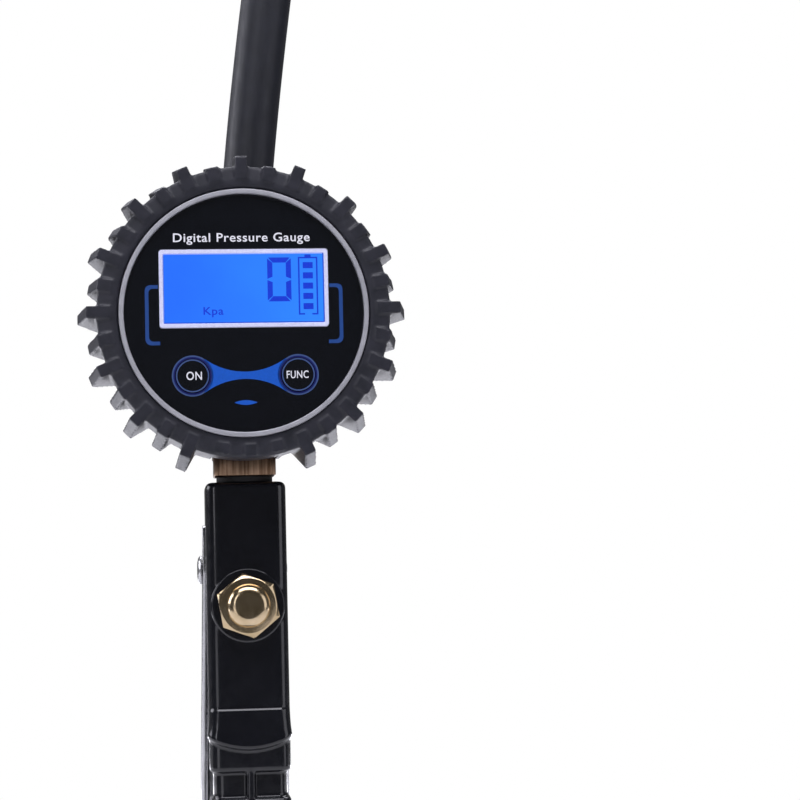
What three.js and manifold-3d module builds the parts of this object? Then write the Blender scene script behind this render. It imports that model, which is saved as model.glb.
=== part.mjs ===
// Digital tyre inflator gun: gauge head in a rubber boot, handle with a lever valve, hose and lock-on chuck.
// Millimetres. Z = 0 is the inlet nipple's end face, +Z runs up the handle and -Y faces the user.
import * as THREE from "three";
import { mergeVertices } from "three/addons/utils/BufferGeometryUtils.js";
import Module from "manifold-3d";

const wasm = await Module();
wasm.setup();

// Whole tool
const HALF_WIDTH = 43.5; // tips of the boot's big lugs
const HALF_DEPTH = 28; // bezel in front, free end of the lever behind
const GAUGE_Z = 202;
const GAP = 0.3; // between pieces that rest on each other
const RUNNING = 0.1; // radial clearance of a shaft in its hole
const TURN = 2 * Math.PI;
const ROUND = 48; // facets of the gauge's large turned pieces

// Gauge head, depths from the front
const BEZEL_OUTER = 32.5;
const BEZEL_INNER = 31;
const FRONT_Y = -HALF_DEPTH;
const PANEL_FRONT_Y = FRONT_Y + 1.2;
const PANEL_THICK = 1.5;
const CASE_FRONT_Y = FRONT_Y + 3.1;
const CASE_BACK_Y = 5;
const CASE_WALL = 2.2;
const BOOT_OUTER = 37.4;
const BOOT_BACK_Y = 8;
const LCD = { x: 0, z: 6.4, width: 44, height: 20.4, border: 1 };
const BUTTON = { x: 13.7, z: -16.4, radius: 4.4 };
const BATTERY = { radius: 5.25, length: 44.5, y: -3.6, z: [-2.6, 8.6] };
const TRAY = { halfWidth: 26, low: -8.4, high: 14.4, front: -9.4 };
const CELL_OFFSET = 2.5; // the cells lie along X, the lower one shifted right and the upper one left
const DOOR = { halfWidth: 27, low: -9.8, high: 15.8, thick: 1.6, tabHalf: 5, tabHigh: 22, screwZ: 18.4 };
const BOARD_RADIUS = 29.5;
const BOARD_FRONT = PANEL_FRONT_Y + 4.7;
const BOARD_BACK = BOARD_FRONT + 1.6;
const BOARD_SCREW = { x: 25, shank: 1, head: 2.2, depth: 5 };
const DOOR_SCREW = { shank: 1, head: 2.6, low: -1.1 };
const LUG = { positions: 32, half: 1.55, root: 34.6, apexY: -10 };
const BIG_LUG = { tip: 40.5, apex: HALF_WIDTH };
const SMALL_LUG = { tip: 38.4, apex: 41 };
const SHANK_Y = -4;
const SHANK_HALF = 8.2;
const SHANK = { squareTop: -35.2, squareLow: -41.7, top: -23.9, low: -49, neck: 5, bore: 1.5, chamfer: 1.5 };
const WASHER = { outer: 7.3, low: -43.1, high: -42 };
const STUB_RADIUS = 4.8; // of the shank and of the hose fitting, where they enter the handle

// Handle and valve
const HANDLE_TOP = GAUGE_Z - 43.4;
const HANDLE_LOW = GAUGE_Z - 173.4;
const HEAD_LOW = HANDLE_TOP - 10;
const HANDLE_FRONT = -12.5;
const STEP_Y = 2.5; // the handle is narrower behind this, so the lever's flanges can wrap it
const HANDLE_BACK = 10;
const FRONT_HALF = 10.7;
const REAR_HALF = 9.6;
const VALVE_Z = GAUGE_Z - 76.1;
const PIVOT = { y: 7, z: GAUGE_Z - 66.5, radius: 1.95 };
const SQUEEZE = THREE.MathUtils.degToRad(9);
const PLUG_FRONT = HANDLE_FRONT - 5.8;
const FRONT_CORNER = 2.5;
const BOSS = { radius: 9.6, proud: 1 };
const LIP = { low: GAUGE_Z - 114, high: GAUGE_Z - 105, proud: 0.9, flare: 0.35 };
const GRIP = { first: HANDLE_LOW + 46.9, recess: 6.8, pitch: 12.2, count: 4 };
const RECESS = { depth: 2.2, inset: 0.8, ribHalf: 1.2 };
const CHAMBER = { radius: 5, bore: 6.3, boreEnd: -7.5, seatY: -2, guideRadius: 3.2, guideEnd: 4 };
const STEM_RADIUS = 1.5;
const POPPET_RADIUS = 4.4;
const POPPET_BACK = -3.3;
const INLET = { bore: 6.2, depth: 13, passage: 2.1 };
const NIPPLE_HEX = { acrossFlats: 15, low: HANDLE_LOW - GAP - 6.5, high: HANDLE_LOW - GAP };

// Lever, drawn squeezed, with the pivot as its origin
const LEVER = { inner: 10, outer: 11.3, webInner: 4.4, webOuter: 5.9, front: -4.1, top: 12 };
const LEVER_LENGTH =
  (HALF_DEPTH - PIVOT.y - LEVER.webOuter * Math.cos(SQUEEZE)) / Math.sin(SQUEEZE);

// Hose and chuck
const HOSE = { y: 17, radius: 7, bore: 4.2, low: -37, high: 190, bendStart: -20, reach: 23.26 };
const HOSE_TILT = THREE.MathUtils.degToRad(7.55);
const FERRULE = { inner: HOSE.radius + GAP, outer: 8.1, length: 15 };
const CHUCK = { length: 42, headLow: 15, headRadius: 8.6, mouth: 4.7, mouthLow: 26, bore: 1.6 };
const CLIP = { half: 3.2, pivotY: -11.4, pivotZ: 26, pinRadius: 1.2, pinHalf: 5.6 };

// ---- Solids ----

function solid(geometry) {
  geometry.deleteAttribute("normal");
  geometry.deleteAttribute("uv");
  const merged = mergeVertices(geometry, 1e-4);
  const mesh = { numProp: 3, vertProperties: merged.attributes.position.array };
  return new wasm.Manifold(new wasm.Mesh({ ...mesh, triVerts: new Uint32Array(merged.index.array) }));
}

function geometryOf(manifold) {
  const mesh = manifold.getMesh();
  return new THREE.BufferGeometry()
    .setAttribute("position", new THREE.BufferAttribute(mesh.vertProperties, 3))
    .setIndex(new THREE.BufferAttribute(mesh.triVerts, 1));
}

const union = (first, ...rest) => rest.reduce((sum, next) => sum.add(next), first);
const cut = (first, ...rest) => rest.reduce((left, next) => left.subtract(next), first);

// A closed profile of [radius, height] pairs, turned about an axis.
function turned(profile, axis = "z", segments = 24) {
  let area = 0;
  profile.forEach(([r, h], i) => {
    const [nextR, nextH] = profile[(i + 1) % profile.length];
    area += r * nextH - nextR * h;
  });
  const ordered = area > 0 ? profile : [...profile].reverse();
  const points = [...ordered, ordered[0]].map(([r, h]) => new THREE.Vector2(r, h));
  const geometry = new THREE.LatheGeometry(points, segments);
  if (axis === "z") geometry.rotateX(Math.PI / 2);
  if (axis === "x") geometry.rotateZ(-Math.PI / 2);
  return solid(geometry);
}

const disc = (radius, from, to, axis, segments) =>
  turned([[0, from], [radius, from], [radius, to], [0, to]], axis, segments);

const ring = (inner, outer, from, to, axis, segments) =>
  turned([[inner, from], [outer, from], [outer, to], [inner, to]], axis, segments);

function block(x0, x1, y0, y1, z0, z1) {
  const geometry = new THREE.BoxGeometry(x1 - x0, y1 - y0, z1 - z0);
  return solid(geometry.translate((x0 + x1) / 2, (y0 + y1) / 2, (z0 + z1) / 2));
}

// A shape drawn in XY (axis z), in XZ (axis y) or in YZ (axis x), pushed along the axis.
function prism(shape, from, to, axis = "z") {
  const geometry = new THREE.ExtrudeGeometry(shape, { depth: to - from, bevelEnabled: false, curveSegments: 4 });
  if (axis === "y") geometry.rotateX(Math.PI / 2).translate(0, to, 0);
  if (axis === "x") {
    const [x, y, z] = [new THREE.Vector3(1, 0, 0), new THREE.Vector3(0, 1, 0), new THREE.Vector3(0, 0, 1)];
    geometry.applyMatrix4(new THREE.Matrix4().makeBasis(y, z, x)).translate(from, 0, 0);
  }
  if (axis === "z") geometry.translate(0, 0, from);
  return solid(geometry);
}

const polygon = (points) => new THREE.Shape(points.map(([x, y]) => new THREE.Vector2(x, y)));

// A rectangle whose corners are arcs; the radii run low-left, low-right, high-right, high-left.
function roundedRectangle(x0, x1, y0, y1, [a, b, c, d]) {
  const shape = new THREE.Shape();
  shape.moveTo(x0 + a, y0);
  shape.lineTo(x1 - b, y0);
  shape.absarc(x1 - b, y0 + b, b, -TURN / 4, 0, false);
  shape.absarc(x1 - c, y1 - c, c, 0, TURN / 4, false);
  shape.absarc(x0 + d, y1 - d, d, TURN / 4, TURN / 2, false);
  shape.absarc(x0 + a, y0 + a, a, TURN / 2, (3 * TURN) / 4, false);
  return shape;
}

function hexagon(acrossFlats, turn = 0) {
  const corner = acrossFlats / Math.sqrt(3);
  const points = Array.from({ length: 6 }, (_, i) => turn + (i * TURN) / 6);
  return polygon(points.map((angle) => [corner * Math.cos(angle), corner * Math.sin(angle)]));
}

function coil(radius, wire, turns, length) {
  class Helix extends THREE.Curve {
    getPoint(t) {
      const angle = TURN * turns * t;
      return new THREE.Vector3(radius * Math.cos(angle), radius * Math.sin(angle), length * t);
    }
  }
  const section = polygon(
    Array.from({ length: 5 }, (_, i) => [wire * Math.cos((i * TURN) / 5), wire * Math.sin((i * TURN) / 5)]),
  );
  return solid(new THREE.ExtrudeGeometry(section, { steps: turns * 8, extrudePath: new Helix() }));
}

// ---- Meshes and finishes ----

const FINISHES = {
  rubber: [0x26262b, 0.75, 0],
  silver: [0xa9adb4, 0.3, 1],
  steel: [0x9b9da1, 0.35, 1],
  brass: [0xb8a66e, 0.3, 1],
  gloss: [0x0c0e14, 0.12, 0],
  paint: [0x0e0f14, 0.15, 0.1],
  white: [0xdfe6f5, 0.4, 0],
  display: [0x2d77fe, 0.2, 0],
  plastic: [0x1d1f24, 0.55, 0],
  board: [0x1c5a3a, 0.6, 0],
  cell: [0x55585e, 0.35, 0.6],
};

function piece(name, finish, manifold) {
  const [color, roughness, metalness] = FINISHES[finish];
  const mesh = new THREE.Mesh(
    geometryOf(manifold),
    new THREE.MeshStandardMaterial({ color, roughness, metalness }),
  );
  mesh.name = name;
  return mesh;
}

function group(name, ...children) {
  const made = new THREE.Group();
  made.name = name;
  return made.add(...children);
}

// ---- Gauge head, origin at the dial's centre ----

function boot() {
  const sidewallY = FRONT_Y + 1.4;
  const inner = BEZEL_OUTER + GAP;
  const lipInner = 29;
  const lipY = CASE_BACK_Y + GAP;
  const wall = turned(
    [
      [inner, sidewallY], [BOOT_OUTER, sidewallY], [BOOT_OUTER, BOOT_BACK_Y],
      [lipInner, BOOT_BACK_Y], [lipInner, lipY], [inner, lipY],
    ],
    "y",
    ROUND,
  );
  const lugFront = FRONT_Y + 0.4;
  const lugs = [];
  for (let i = 0; i < LUG.positions; i++) {
    if (Math.abs(i - LUG.positions / 2) <= 1) continue; // room for the shank
    const { tip, apex } = i % 2 === 0 ? BIG_LUG : SMALL_LUG;
    const profile = [
      [lugFront, LUG.root], [lugFront, tip], [LUG.apexY, apex],
      [BOOT_BACK_Y, BOOT_OUTER - 0.2], [BOOT_BACK_Y, 35.5], [sidewallY + 2, LUG.root],
    ];
    const lug = prism(polygon(profile), -LUG.half, LUG.half, "x");
    lugs.push(lug.rotate([0, (360 * i) / LUG.positions, 0]));
  }
  const slot = block(-SHANK_HALF - 0.7, SHANK_HALF + 0.7, SHANK_Y - SHANK_HALF - 0.6, 20, -50, -lipInner + 3);
  return cut(union(wall, ...lugs), slot);
}

const bezel = () => ring(BEZEL_INNER, BEZEL_OUTER, FRONT_Y, CASE_FRONT_Y - GAP, "y", ROUND);

const lcdWindow = (margin, from, to) => {
  const [halfWidth, halfHeight] = [LCD.width / 2 + margin, LCD.height / 2 + margin];
  return block(LCD.x - halfWidth, LCD.x + halfWidth, from, to, LCD.z - halfHeight, LCD.z + halfHeight);
};

const buttonDisc = (side, radius, from, to) =>
  disc(radius, from, to, "y").translate([side * BUTTON.x, 0, BUTTON.z]);

function panel() {
  const back = PANEL_FRONT_Y + PANEL_THICK;
  const holes = [-1, 1].map((side) => buttonDisc(side, BUTTON.radius + GAP, FRONT_Y, 0));
  return cut(disc(BEZEL_INNER - GAP, PANEL_FRONT_Y, back, "y", ROUND), lcdWindow(GAP, FRONT_Y, 0), ...holes);
}

const lcdFrame = () =>
  cut(lcdWindow(0, PANEL_FRONT_Y - 0.2, PANEL_FRONT_Y + 2), lcdWindow(-LCD.border, FRONT_Y, 0));

const lcdGlass = () => lcdWindow(-LCD.border - 0.25, PANEL_FRONT_Y + 0.2, PANEL_FRONT_Y + 2);

const backlight = () => lcdWindow(-LCD.border, PANEL_FRONT_Y + 2.3, PANEL_FRONT_Y + 4.3);

function button(side) {
  const back = PANEL_FRONT_Y + PANEL_THICK;
  const cap = buttonDisc(side, BUTTON.radius, PANEL_FRONT_Y - 0.4, back + 0.9);
  return union(cap, buttonDisc(side, BUTTON.radius + 0.9, back + GAP, back + 0.9));
}

function tactSwitch(side) {
  const base = block(-3, 3, BOARD_FRONT - 1.7, BOARD_FRONT - GAP, -3, 3);
  const dome = disc(1.6, BOARD_FRONT - 1.9, BOARD_FRONT - 1.6, "y", 16);
  return union(base, dome).translate([side * BUTTON.x, 0, BUTTON.z]);
}

const board = () =>
  cut(
    disc(BOARD_RADIUS, BOARD_FRONT, BOARD_BACK, "y", ROUND),
    ...[-1, 1].map((side) =>
      disc(BOARD_SCREW.shank + GAP, FRONT_Y, 0, "y", 16).translate([side * BOARD_SCREW.x, 0, 0]),
    ),
  );

const boardScrew = (side) =>
  union(
    disc(BOARD_SCREW.head, BOARD_FRONT - 1.3, BOARD_FRONT - GAP, "y", 16),
    disc(BOARD_SCREW.shank, BOARD_FRONT - 1, BOARD_BACK + BOARD_SCREW.depth, "y", 16),
  ).translate([side * BOARD_SCREW.x, 0, 0]);

// The door's outline, a rounded plate with a screw tab on top.
function doorPlate(margin, from, to) {
  const { halfWidth, low, high, tabHalf, tabHigh } = DOOR;
  const corners = [2.5, 2.5, 2.5, 2.5];
  const plate = roundedRectangle(-halfWidth - margin, halfWidth + margin, low - margin, high + margin, corners);
  const tab = roundedRectangle(-tabHalf - margin, tabHalf + margin, 0, tabHigh + margin, corners);
  return union(prism(plate, from, to, "y"), prism(tab, from, to, "y"));
}

// Case: a cup with a battery tray let in from behind, two board posts and a hole for the shank.
function gaugeCase() {
  const inner = BEZEL_OUTER - CASE_WALL;
  const floor = CASE_BACK_Y - 3.4;
  const cup = turned(
    [[0, floor], [inner, floor], [inner, CASE_FRONT_Y], [BEZEL_OUTER, CASE_FRONT_Y],
      [BEZEL_OUTER, CASE_BACK_Y], [0, CASE_BACK_Y]],
    "y",
    ROUND,
  );
  const wall = 1.4;
  const round = disc(BEZEL_OUTER - 1, TRAY.front - wall, CASE_BACK_Y, "y", ROUND);
  const box = block(
    -TRAY.halfWidth - wall, TRAY.halfWidth + wall, TRAY.front - wall, floor + 1,
    TRAY.low - wall, TRAY.high + wall,
  ).intersect(round);
  const pocket = block(-TRAY.halfWidth, TRAY.halfWidth, TRAY.front, 10, TRAY.low, TRAY.high);
  const posts = [-1, 1].map((side) =>
    disc(2.4, BOARD_BACK + GAP, TRAY.front, "y", 16).translate([side * BOARD_SCREW.x, 0, 0]),
  );
  const postHoles = [-1, 1].map((side) =>
    disc(BOARD_SCREW.shank + GAP, BOARD_BACK, BOARD_BACK + BOARD_SCREW.depth + GAP, "y", 16)
      .translate([side * BOARD_SCREW.x, 0, 0]),
  );
  const doorBoss = disc(3.4, -2.4, floor + 0.5, "y", 20).translate([0, 0, DOOR.screwZ]);
  const shankHole = disc(SHANK.neck + GAP, -40, -20, "z").translate([0, SHANK_Y, 0]);
  const doorScrewHole = disc(DOOR_SCREW.shank + GAP, DOOR_SCREW.low - GAP, 10, "y", 16)
    .translate([0, 0, DOOR.screwZ]);
  return cut(
    union(cup, box, ...posts, doorBoss),
    pocket, doorPlate(GAP, CASE_BACK_Y - DOOR.thick - GAP, 10), ...postHoles, doorScrewHole, shankHole,
  );
}

function batteryDoor() {
  const plate = doorPlate(0, CASE_BACK_Y - DOOR.thick, CASE_BACK_Y);
  const screwHole = disc(DOOR_SCREW.shank + GAP, 0, 10, "y", 16).translate([0, 0, DOOR.screwZ]);
  const headHole = disc(DOOR_SCREW.head + GAP, CASE_BACK_Y - 1, 10, "y", 20).translate([0, 0, DOOR.screwZ]);
  return cut(plate, screwHole, headHole);
}

const doorScrew = () =>
  union(
    disc(DOOR_SCREW.head, CASE_BACK_Y - 0.7, CASE_BACK_Y + 0.2, "y", 20),
    disc(DOOR_SCREW.shank, DOOR_SCREW.low, CASE_BACK_Y - 0.4, "y", 16),
  ).translate([0, 0, DOOR.screwZ]);

function cell(direction, z) {
  const half = BATTERY.length / 2;
  const profile = [
    [0, -half], [BATTERY.radius, -half], [BATTERY.radius, half - 1], [1.9, half - 1], [1.9, half], [0, half],
  ];
  const body = turned(profile.map(([r, h]) => [r, direction * h]), "x", 24);
  return body.translate([direction * CELL_OFFSET, BATTERY.y, z]);
}

const contactPlate = (side, low, high) => {
  const inner = TRAY.halfWidth - 0.8;
  const [x0, x1] = side > 0 ? [inner, inner + 0.5] : [-inner - 0.5, -inner];
  return block(x0, x1, BATTERY.y - 4, BATTERY.y + 4, low, high);
};

function batterySpring(side, z) {
  const from = BATTERY.length / 2 - CELL_OFFSET + 0.7;
  const made = coil(2.6, 0.3, 4, TRAY.halfWidth - 1.6 - from).rotate([0, side * 90, 0]);
  return made.translate([side * from, BATTERY.y, z]);
}

const sensor = () =>
  turned([[0, -12], [3.6, -12], [3.6, -15], [5.2, -15], [5.2, -23.4], [0, -23.4]]).translate([0, SHANK_Y, 0]);

// Flat cable from the board's back to the top of the sensor.
function sensorCable() {
  const thick = 0.5;
  const [front, low, high] = [BOARD_BACK + GAP, -11.7, -10.2];
  const strip = polygon([
    [front, -14], [front, high], [SHANK_Y, high], [SHANK_Y, low], [SHANK_Y - thick, low],
    [SHANK_Y - thick, high - thick], [front + thick, high - thick], [front + thick, -14],
  ]);
  return prism(strip, -2.5, 2.5, "x");
}

function shank() {
  const [near, far] = [SHANK_HALF - SHANK.chamfer, SHANK_HALF];
  const outline = polygon([
    [-near, -far], [near, -far], [far, -near], [far, near],
    [near, far], [-near, far], [-far, near], [-far, -near],
  ]);
  const bar = prism(outline, SHANK.squareLow, SHANK.squareTop);
  const neck = disc(SHANK.neck, SHANK.squareTop - 1, SHANK.top);
  const stub = disc(STUB_RADIUS, SHANK.low, SHANK.squareLow + 1);
  return cut(union(bar, neck, stub), disc(SHANK.bore, -60, 0, "z", 16)).translate([0, SHANK_Y, 0]);
}

const shankSeal = () =>
  ring(STUB_RADIUS + GAP, WASHER.outer, WASHER.low, WASHER.high, "z").translate([0, SHANK_Y, 0]);

const gauge = group(
  "gauge_head",
  piece("protective_boot", "rubber", boot()),
  piece("bezel_ring", "silver", bezel()),
  piece("dial_panel", "gloss", panel()),
  piece("lcd_frame", "white", lcdFrame()),
  piece("lcd_glass", "display", lcdGlass()),
  piece("backlight_diffuser", "white", backlight()),
  piece("on_button", "gloss", button(-1)),
  piece("func_button", "gloss", button(1)),
  piece("on_switch", "plastic", tactSwitch(-1)),
  piece("func_switch", "plastic", tactSwitch(1)),
  piece("circuit_board", "board", board()),
  piece("board_screw_left", "steel", boardScrew(-1)),
  piece("board_screw_right", "steel", boardScrew(1)),
  piece("gauge_case", "plastic", gaugeCase()),
  piece("battery_door", "plastic", batteryDoor()),
  piece("door_screw", "steel", doorScrew()),
  piece("battery_lower", "cell", cell(1, BATTERY.z[0])),
  piece("battery_upper", "cell", cell(-1, BATTERY.z[1])),
  piece("contact_bridge", "steel", contactPlate(1, BATTERY.z[0] - 4, BATTERY.z[1] + 4)),
  piece("contact_positive", "steel", contactPlate(-1, BATTERY.z[1] - 4, BATTERY.z[1] + 4)),
  piece("contact_negative", "steel", contactPlate(-1, BATTERY.z[0] - 4, BATTERY.z[0] + 4)),
  piece("battery_spring_lower", "steel", batterySpring(-1, BATTERY.z[0])),
  piece("battery_spring_upper", "steel", batterySpring(1, BATTERY.z[1])),
  piece("pressure_sensor", "steel", sensor()),
  piece("sensor_cable", "plastic", sensorCable()),
  piece("gauge_shank", "brass", shank()),
  piece("shank_seal", "rubber", shankSeal()),
);
gauge.position.z = GAUGE_Z;

// ---- Handle and valve ----

function handleBody() {
  const corners = [FRONT_CORNER, FRONT_CORNER, 0.5, 0.5];
  const front = prism(
    roundedRectangle(-FRONT_HALF, FRONT_HALF, HANDLE_FRONT, STEP_Y, corners), HANDLE_LOW, HANDLE_TOP,
  );
  const rearShape = roundedRectangle(-REAR_HALF, REAR_HALF, STEP_Y - 2, HANDLE_BACK, [0.5, 0.5, 2, 2]);
  const rear = prism(rearShape, HANDLE_LOW, HANDLE_TOP);
  const port = union(
    disc(9.5, HEAD_LOW, HANDLE_TOP, "z").translate([0, HOSE.y, 0]),
    block(-9.5, 9.5, STEP_Y, HOSE.y, HEAD_LOW, HANDLE_TOP),
  );
  const lipHalf = FRONT_HALF + LIP.flare;
  const lipShape = roundedRectangle(-lipHalf, lipHalf, HANDLE_FRONT - LIP.proud, STEP_Y - 0.2, corners);
  const lip = prism(lipShape, LIP.low, LIP.high);
  const boss = disc(BOSS.radius, HANDLE_FRONT - BOSS.proud, HANDLE_FRONT + 2, "y").translate([0, 0, VALVE_Z]);
  const recesses = [];
  for (let i = 0; i < GRIP.count; i++) {
    const high = GRIP.first + GRIP.recess - i * GRIP.pitch;
    const low = high - GRIP.recess;
    recesses.push(
      block(RECESS.ribHalf, 15, -20, HANDLE_FRONT + RECESS.depth, low, high),
      block(-15, -RECESS.ribHalf, -20, HANDLE_FRONT + RECESS.depth, low, high),
      block(FRONT_HALF - RECESS.inset, 15, -20, STEP_Y + 0.1, low, high),
      block(-15, -FRONT_HALF + RECESS.inset, -20, STEP_Y + 0.1, low, high),
    );
  }
  const alongY = (radius, from, to, z, segments) => disc(radius, from, to, "y", segments).translate([0, 0, z]);
  const alongZ = (radius, from, to, y, segments) => disc(radius, from, to, "z", segments).translate([0, y, 0]);
  return cut(
    union(front, rear, port, lip, boss),
    ...recesses,
    alongY(CHAMBER.bore, -30, CHAMBER.boreEnd, VALVE_Z),
    alongY(CHAMBER.radius, -30, CHAMBER.seatY, VALVE_Z),
    alongY(CHAMBER.guideRadius, -30, CHAMBER.guideEnd, VALVE_Z),
    alongY(STEM_RADIUS + RUNNING, -30, 30, VALVE_Z, 24),
    alongZ(INLET.bore, 0, HANDLE_LOW + INLET.depth, 0),
    alongZ(2.2, HANDLE_LOW + INLET.depth - 2, VALVE_Z - 3, -4.5, 16),
    alongZ(1.5, VALVE_Z + 2, HANDLE_TOP - 8, 0.5, 16),
    alongZ(STUB_RADIUS + GAP, HANDLE_TOP - 9, HANDLE_TOP + 5, SHANK_Y),
    alongZ(STUB_RADIUS + GAP, HANDLE_TOP - 8.3, HANDLE_TOP + 5, HOSE.y),
    alongY(1.3, SHANK_Y, HOSE.y, HANDLE_TOP - 7.6, 16),
    disc(PIVOT.radius + RUNNING, -30, 30, "x").translate([0, PIVOT.y, PIVOT.z]),
  );
}

function valvePlug() {
  const turn = THREE.MathUtils.degToRad(90 + 9.4);
  const back = HANDLE_FRONT - BOSS.proud - GAP;
  const hex = prism(hexagon(15, turn), PLUG_FRONT, back, "y");
  const chamfer = turned(
    [[0, back], [9, back], [9, PLUG_FRONT + 1], [7.3, PLUG_FRONT], [0, PLUG_FRONT]], "y",
  );
  const crown = turned(
    [[0, PLUG_FRONT + 1], [5.5, PLUG_FRONT + 1], [5.5, PLUG_FRONT - 1.2], [4.6, PLUG_FRONT - 2],
      [0, PLUG_FRONT - 2]],
    "y",
  );
  const stub = disc(CHAMBER.bore - GAP, back - 0.5, CHAMBER.boreEnd - GAP, "y");
  const springPocket = disc(4.2, HANDLE_FRONT - 1.6, 0, "y", 24);
  return cut(union(hex.intersect(chamfer), crown, stub), springPocket).translate([0, 0, VALVE_Z]);
}

function valveStem() {
  const head = POPPET_BACK - 2.2;
  return turned(
    [[0, head - 2], [2.2, head - 2], [2.2, head], [POPPET_RADIUS, head], [POPPET_RADIUS, POPPET_BACK],
      [STEM_RADIUS, POPPET_BACK], [STEM_RADIUS, 12], [1.1, 12.5], [0, 12.5]],
    "y",
    24,
  ).translate([0, 0, VALVE_Z]);
}

const valveSeal = () =>
  ring(STEM_RADIUS + 0.15, POPPET_RADIUS, POPPET_BACK + 0.15, CHAMBER.seatY - 0.15, "y", 24)
    .translate([0, 0, VALVE_Z]);

function stemRing() {
  const [centre, tube] = [2.35, 0.65];
  const profile = Array.from({ length: 8 }, (_, i) => [
    centre + tube * Math.cos((i * TURN) / 8), 2.6 + tube * Math.sin((i * TURN) / 8),
  ]);
  return turned(profile, "y", 24).translate([0, 0, VALVE_Z]);
}

const valveSpring = () =>
  coil(3.2, 0.35, 4, 6.6).rotate([90, 0, 0]).translate([0, POPPET_BACK - 2.2 - 0.6, VALVE_Z]);

function leverPin() {
  const [end, head] = [LEVER.outer + 0.3, 1.3];
  return turned(
    [[0, end], [PIVOT.radius, end], [PIVOT.radius, -end], [4, -end], [3.2, -end - head], [0, -end - head]],
    "x",
    32,
  ).translate([0, PIVOT.y, PIVOT.z]);
}

// The lever hangs in its own group, swung back from the squeezed pose it is drawn in.
function leverSolid() {
  const { front, webOuter, webInner, inner, outer, top } = LEVER;
  const webTop = 6;
  const outline = new THREE.Shape();
  outline.moveTo(webOuter, -LEVER_LENGTH);
  outline.lineTo(webOuter, webTop);
  outline.quadraticCurveTo(webOuter, top, 0.8, top);
  outline.quadraticCurveTo(-1.8, top, -1.9, top - 3);
  outline.lineTo(front, 1);
  outline.lineTo(front, -LEVER_LENGTH + 26);
  outline.lineTo(webInner - 1.5, -LEVER_LENGTH);
  const flanges = [-1, 1].map((side) => {
    const [from, to] = side < 0 ? [-outer, -inner] : [inner, outer];
    return prism(outline, from, to, "x");
  });
  const web = prism(
    roundedRectangle(-outer, outer, -LEVER_LENGTH, webTop, [7, 7, 0.1, 0.1]), webInner, webOuter, "y",
  );
  const cornerCut = cut(
    block(-20, 20, -10, 10, -LEVER_LENGTH - 5, -LEVER_LENGTH + 7),
    prism(roundedRectangle(-outer, outer, -LEVER_LENGTH, webTop, [7, 7, 0.1, 0.1]), -20, 20, "y"),
  );
  const hole = disc(PIVOT.radius + RUNNING, -30, 30, "x");
  return cut(union(web, ...flanges), cornerCut, hole);
}

const leverGroup = group("lever_swing", piece("lever", "steel", leverSolid()));
leverGroup.position.set(0, PIVOT.y, PIVOT.z);
leverGroup.rotation.x = SQUEEZE;

function inletPlug() {
  const { low, high } = NIPPLE_HEX;
  const hex = prism(hexagon(NIPPLE_HEX.acrossFlats), low, high);
  const stem = turned([
    [0, 0], [3.9, 0], [4.4, 0.5], [4.4, 3], [2.95, 4.6], [2.95, 8.4], [3.9, 9.2], [5.9, 11], [5.9, 17],
    [4.8, 18], [4.8, low + 1], [0, low + 1],
  ]);
  const thread = disc(INLET.bore - GAP, high - 1, HANDLE_LOW + INLET.depth - 3);
  return cut(union(hex, stem, thread), disc(INLET.passage, -5, 60, "z", 24));
}

function inletFilter() {
  const [low, high] = [HANDLE_LOW + INLET.depth - 2.6, HANDLE_LOW + INLET.depth - 1.4];
  const holes = Array.from({ length: 6 }, (_, i) => {
    const angle = (i * TURN) / 6;
    return disc(0.9, 0, 60, "z", 12).translate([3.2 * Math.cos(angle), 3.2 * Math.sin(angle), 0]);
  });
  return cut(disc(INLET.bore - GAP, low, high), disc(0.9, 0, 60, "z", 12), ...holes);
}

const handle = group(
  "handle",
  piece("handle_body", "paint", handleBody()),
  leverGroup,
  piece("lever_pin", "steel", leverPin()),
  piece("valve_plug", "brass", valvePlug()),
  piece("valve_stem", "brass", valveStem()),
  piece("valve_seal", "rubber", valveSeal()),
  piece("stem_o_ring", "rubber", stemRing()),
  piece("valve_spring", "steel", valveSpring()),
  piece("inlet_plug", "steel", inletPlug()),
  piece("inlet_filter", "brass", inletFilter()),
);

// ---- Hose and chuck ----

// A cubic that leaves the port upright and arrives at the chuck leaning by the hose's tilt.
class HosePath extends THREE.Curve {
  getPoint(t) {
    const z = HOSE.low + t * (HOSE.high - HOSE.low);
    const span = HOSE.high - HOSE.bendStart;
    const along = Math.max(z - HOSE.bendStart, 0) / span;
    const swing = HOSE.reach * along ** 2 * (3 - 2 * along);
    const lean = span * Math.tan(HOSE_TILT) * along ** 2 * (along - 1);
    return new THREE.Vector3(swing + lean, HOSE.y, GAUGE_Z + z);
  }
}
const hosePath = new HosePath();
const hoseEnd = hosePath.getPoint(1);

function hose() {
  const circle = (radius) =>
    Array.from({ length: 16 }, (_, i) => {
      const angle = (i * TURN) / 16;
      return new THREE.Vector2(radius * Math.cos(angle), radius * Math.sin(angle));
    });
  const section = new THREE.Shape(circle(HOSE.radius));
  section.holes.push(new THREE.Path(circle(HOSE.bore)));
  return solid(new THREE.ExtrudeGeometry(section, { steps: 16, extrudePath: hosePath }));
}

function hoseFitting() {
  const hexLow = HANDLE_TOP + GAP;
  const hexHigh = GAUGE_Z + HOSE.low - GAP;
  const hex = prism(hexagon(13, TURN / 12), hexLow, hexHigh);
  const stub = disc(STUB_RADIUS, HANDLE_TOP - 6, hexLow + 1);
  const barb = disc(HOSE.bore - GAP, hexHigh - 1, GAUGE_Z + HOSE.low + 16, "z", 24);
  return cut(union(hex, stub, barb), disc(1.6, 0, 300, "z", 16)).translate([0, HOSE.y, 0]);
}

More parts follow.
